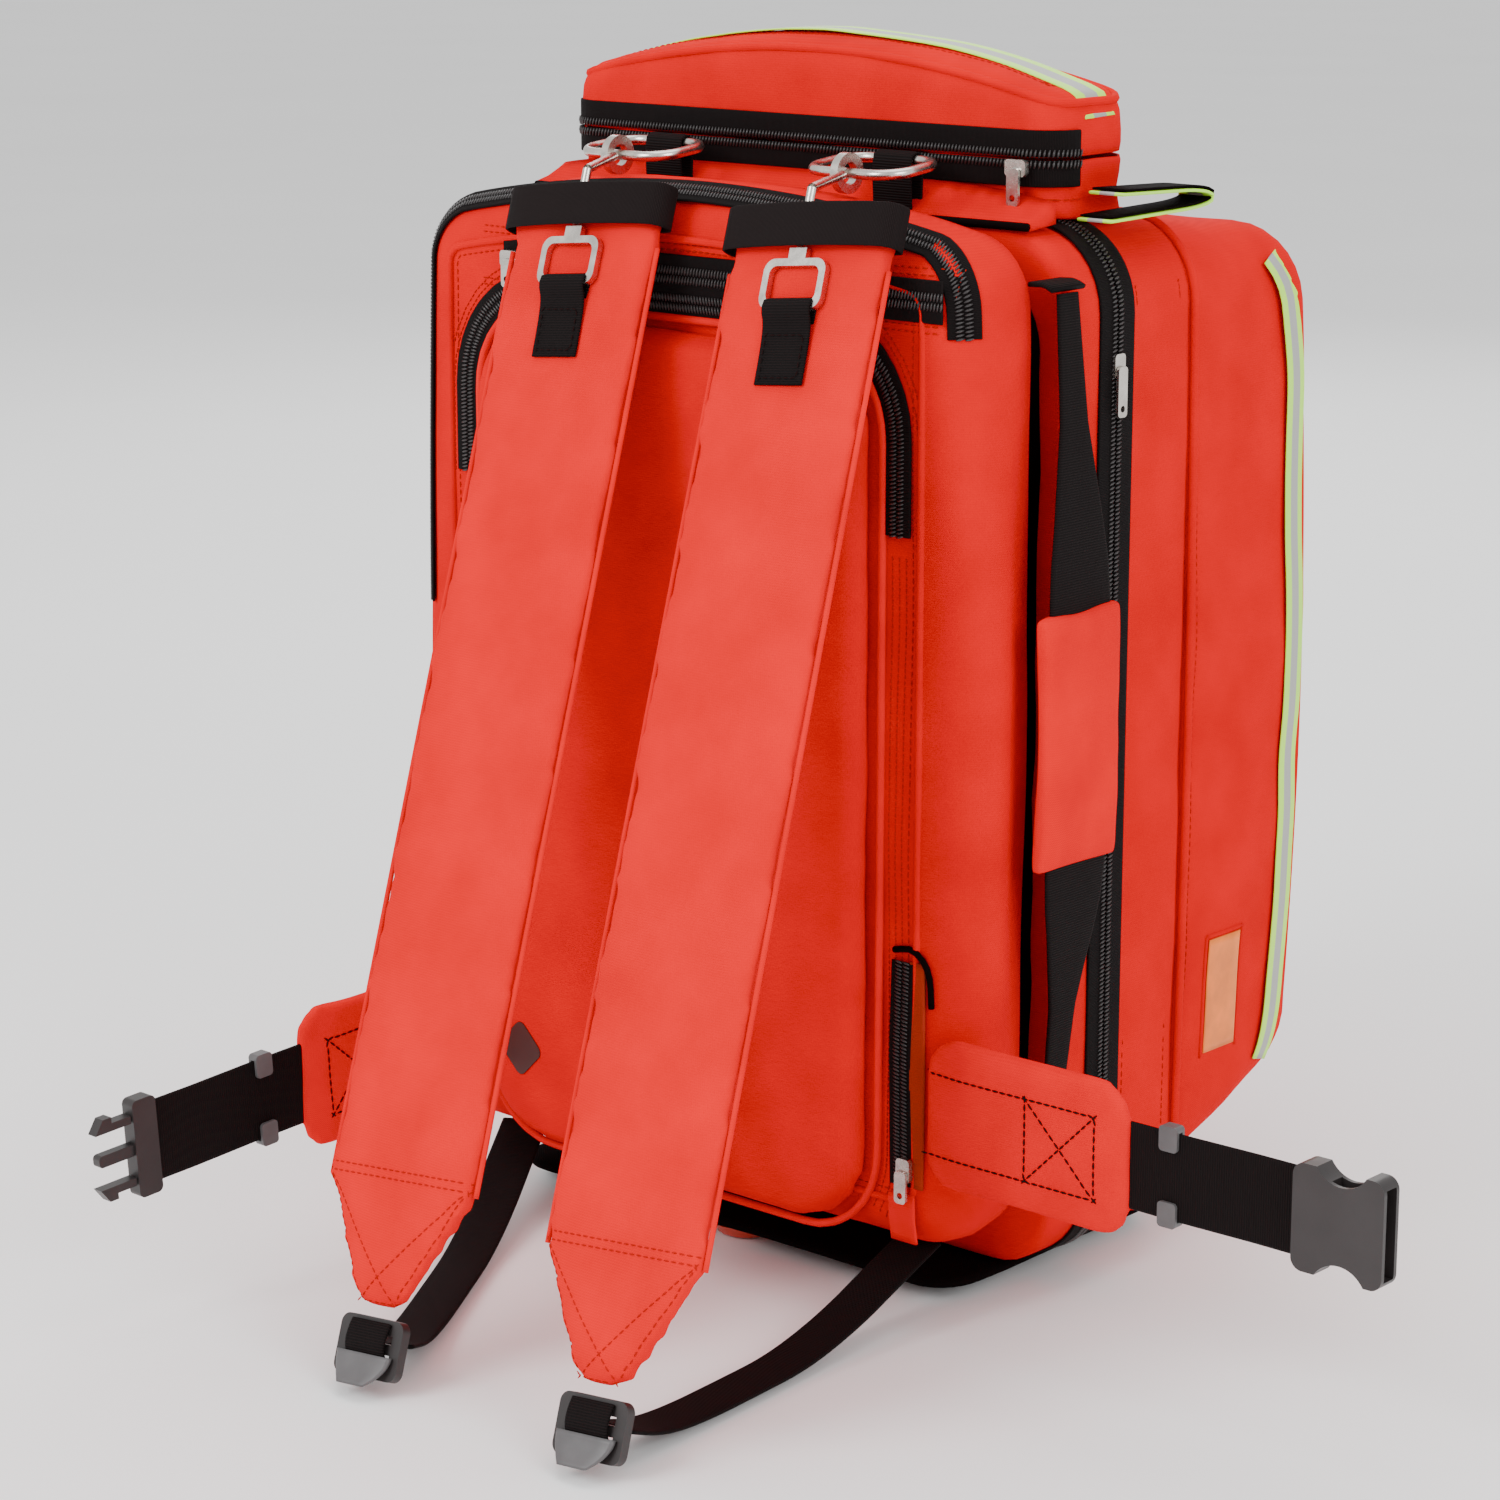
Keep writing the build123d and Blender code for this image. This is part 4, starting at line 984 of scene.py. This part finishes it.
# Heights of the lower webbing at parts of its way from lock to bag, lowest in the middle.
SAG = ((0.1, 19), (0.22, 15.8), (0.4, 15.8), (0.55, 16.2), (0.72, 24), (0.87, 36))
for side, name in ((-1, "left"), (1, "right")):
    body = f"{name}_strap"
    pad = puff(f"strap_pad_{name}", f"shoulder_pad_{name}", RED_PAD, body, 2.2, 0.005, thin=1.0,
               dents=0.9, seed=6.0 + side)
    tip = [(-44, TIP + 62), (44, TIP + 62), (11, TIP + 5), (-11, TIP + 5)]
    rows = [tip + tip[:1], [tip[0], tip[2]], [tip[1], tip[3]], [(-44, TIP + 66), (44, TIP + 66)]]
    for k, row in enumerate(rows):
        stitches(f"tip_seam_{name}_{k}", strap(side, [(x, y, 3) for x, y in row]), THREAD, body, pad,
                 -OUTWARD)
    for k, edge in enumerate((-1, 1)):
        tube(f"pad_edge_{name}_{k}", strap(side, [(edge * 46.6, -12, 0), (edge * 46.6, TIP + 60, 0)]), 1.3,
             RED_PAD, body)

    ring = rounded([(-49.6, 8, -5), (-45, 8, -5.5), (0, 8, -5.5), (45, 8, -5.5), (49.6, 8, -5), (50, 8, 4),
                    (46, 8, 9), (14, 8, 12), (-14, 8, 12), (-46, 8, 9), (-50, 8, 4)], 2, closed=True)
    ribbon(f"elastic_{name}", strap(side, ring), -DOWN, 21, 1.2, ELASTIC, body, closed=True,
           stands_for=(f"elastic_band_{name}",), slot="black_fabric")
    tab = rounded([(0, -67, 7.0), (0, -50, 7.2), (0, -38, 8.4), (0, -33.5, 11.6), (0, -28.6, 11.8),
                   (0, -26.4, 8.5), (0, -29, 5.6), (0, -38, 5.2)], 3)
    ribbon(f"tab_{name}", strap(side, tab), ACROSS, 28, 1.8, WEB, body, stands_for=(f"sewn_tab_{name}",),
           slot="black_fabric", step=3)
    square = [(-11, -64, 8.6), (11, -64, 8.6), (11, -44, 8.9), (-11, -44, 8.9), (-11, -64, 8.6)]
    stitches(f"tab_seam_{name}", strap(side, square), BLACK_THREAD, body)

    # Lower webbing: out of the lock, down near the floor and up to the bag.
    start = strap(side, [(0, TIP - 14, -10.5)])[0]
    end = np.array([side * 135.0, -100.0, 46.0])
    way = end - start
    span = float(np.hypot(way[0], way[1]))
    flatways = np.array([way[0], way[1], 0]) / span
    side_way = np.cross(flatways, (0, 0, 1))

    sag = [np.array([start[0], start[1], 0]) + flatways * f * span + [0, 0, z] for f, z in SAG]
    route = rounded([start, *sag, end], 3)
    ribbon(f"lower_webbing_{name}", route, side_way, 25, 2.0, WEB, body, stands_for=(f"lower_web_{name}",),
           slot="black_fabric")

    # Webbing wound through the ladder lock, and the lock's lifting tongue.
    lock = f"{name}_lock"
    turn = rounded([(0, TIP - 4, 3.2), (0, TIP - 8, 4.8), (0, TIP - 14, 5.6), (0, TIP - 18, 4.6),
                    (0, TIP - 20.5, 2.4)], 3)
    ribbon(f"lock_webbing_{name}", strap(side, turn), ACROSS, 25, 2.0, WEB, lock, step=2)
    tongue = []
    for f in np.linspace(0, 1, TONGUE_ROWS):
        half = 17 - 9 * f ** 2
        y, z, t = TIP - 19 - 15 * f, 4.2 + 6 * f ** 2, 1.8 - 0.5 * f
        tongue.append(strap(side, [(half * s, y, z + t * h) for s, h in STRIP]))
    tongue = np.array(tongue).reshape(-1, 3)
    n = len(STRIP)
    ends = [tuple(range(n)), tuple(range((TONGUE_ROWS - 1) * n, TONGUE_ROWS * n))]
    add(f"lock_tongue_{name}", tongue, quads(TONGUE_ROWS, n) + ends, GREY_PLASTIC, lock)

# ---- hip belt ----
swing, droop = math.radians(88), math.radians(4)    # of the left wing, solved from the photo
# Each wing's root, its direction along and its outer side.
BELTS = {"right": (np.array([160.0, -132, 127]), np.array([1.0, 0, 0]), np.array([0, -1.0, 0])),
         "left": (np.array([-135.0, -134, 112]),
                  np.array([-math.cos(swing) * math.cos(droop), -math.sin(swing) * math.cos(droop),
                            -math.sin(droop)]),
                  np.array([-math.sin(swing), math.cos(swing), 0]))}


WING_END, WEB_END, WEB_W = 118, 223, 42    # along a belt from its root, and the webbing's width
SEAM_Y = 20                                # from a wing's middle to each seam
SEAM_X = (6, 66, 106)    # where the seams start, and where the crossed square starts and ends


def belt(name, points):
    """Points given on a belt, (along, up, out), in layout millimetres."""
    origin, along, out = BELTS[name]
    up = np.cross(out, along)
    p = np.atleast_2d(np.asarray(points, float))
    return origin + p[:, :1] * along + p[:, 1:2] * up + p[:, 2:] * out


for name in ("left", "right"):
    body = f"{name}_belt"
    out = BELTS[name][2]
    up = np.cross(out, BELTS[name][1])
    wing = puff(f"hip_wing_{name}", f"hip_pad_{name}", RED_PAD, body, 2.0, 0.0045, thin=0.6,
                dents=0.8, seed=8.0)
    for face_sign, tag in ((1, "out"), (-1, "in")):
        first, mid, last = SEAM_X
        rows = [[(first, SEAM_Y), (mid, SEAM_Y)], [(first, -SEAM_Y), (mid, -SEAM_Y)],
                [(mid, SEAM_Y), (last, SEAM_Y), (last, -SEAM_Y), (mid, -SEAM_Y), (mid, SEAM_Y)],
                [(mid, SEAM_Y), (last, -SEAM_Y)], [(mid, -SEAM_Y), (last, SEAM_Y)]]
        for k, row in enumerate(rows):
            seam = belt(name, [(x, y, face_sign * 4) for x, y in row])
            stitches(f"wing_seam_{name}_{tag}_{k}", seam, BLACK_THREAD, body, wing, -out * face_sign,
                     length=3.4, pitch=4.2, radius=0.55)
    webbing_path = belt(name, [(WING_END, 0, 0), (150, 0, 0.4), (190, 0, -0.4), (WEB_END, 0, 0)])
    ribbon(f"belt_webbing_{name}", webbing_path, up, WEB_W, 2.0, WEB, body, stands_for=(f"belt_web_{name}",),
           slot="black_fabric")

# ---- finishes of the CAD parts that stay ----
FINISH = {METAL: ["d_ring_left", "d_ring_right", "snap_hook_left", "snap_hook_right", "swivel_loop_left",
                  "swivel_loop_right"] + [f"{n}_{k}" for n in ("window", "top", "slot", "main")
                                          for k in ("slider", "pull")],
          PLASTIC: ["ladder_lock_left", "ladder_lock_right", "buckle_female", "buckle_male", "prong_lower",
                    "prong_upper"],
          GREY_PLASTIC: ["keeper_left", "keeper_right"], FOOT: ["feet"], PATCH: ["patch"],
          SHEET: ["frame_sheet"], ALUMINIUM: ["frame_stays"]}
for mat, names in FINISH.items():
    for node in names:
        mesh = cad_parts[node].data
        mesh.materials.clear()
        mesh.materials.append(mat)

# ---- floor ----
floor_mat = Nodes("floor")
floor_mat.colour(floor_mat.ramp(floor_mat.noise(2), [(0.3, (0.93, 0.93, 0.93)), (0.7, (0.95, 0.95, 0.95))]))
floor_mat.constant(Roughness=0.9)
mesh = bpy.data.meshes.new("floor")
FLOOR_HALF, FLOOR_Z = 30, -0.0005     # metres
corners = [(x * FLOOR_HALF, y * FLOOR_HALF, FLOOR_Z) for x, y in ((-1, -1), (1, -1), (1, 1), (-1, 1))]
mesh.from_pydata(corners, [], [(0, 1, 2, 3)])
mesh.materials.append(floor_mat.mat)
floor = bpy.data.objects.new("floor", mesh)
scene.collection.objects.link(floor)
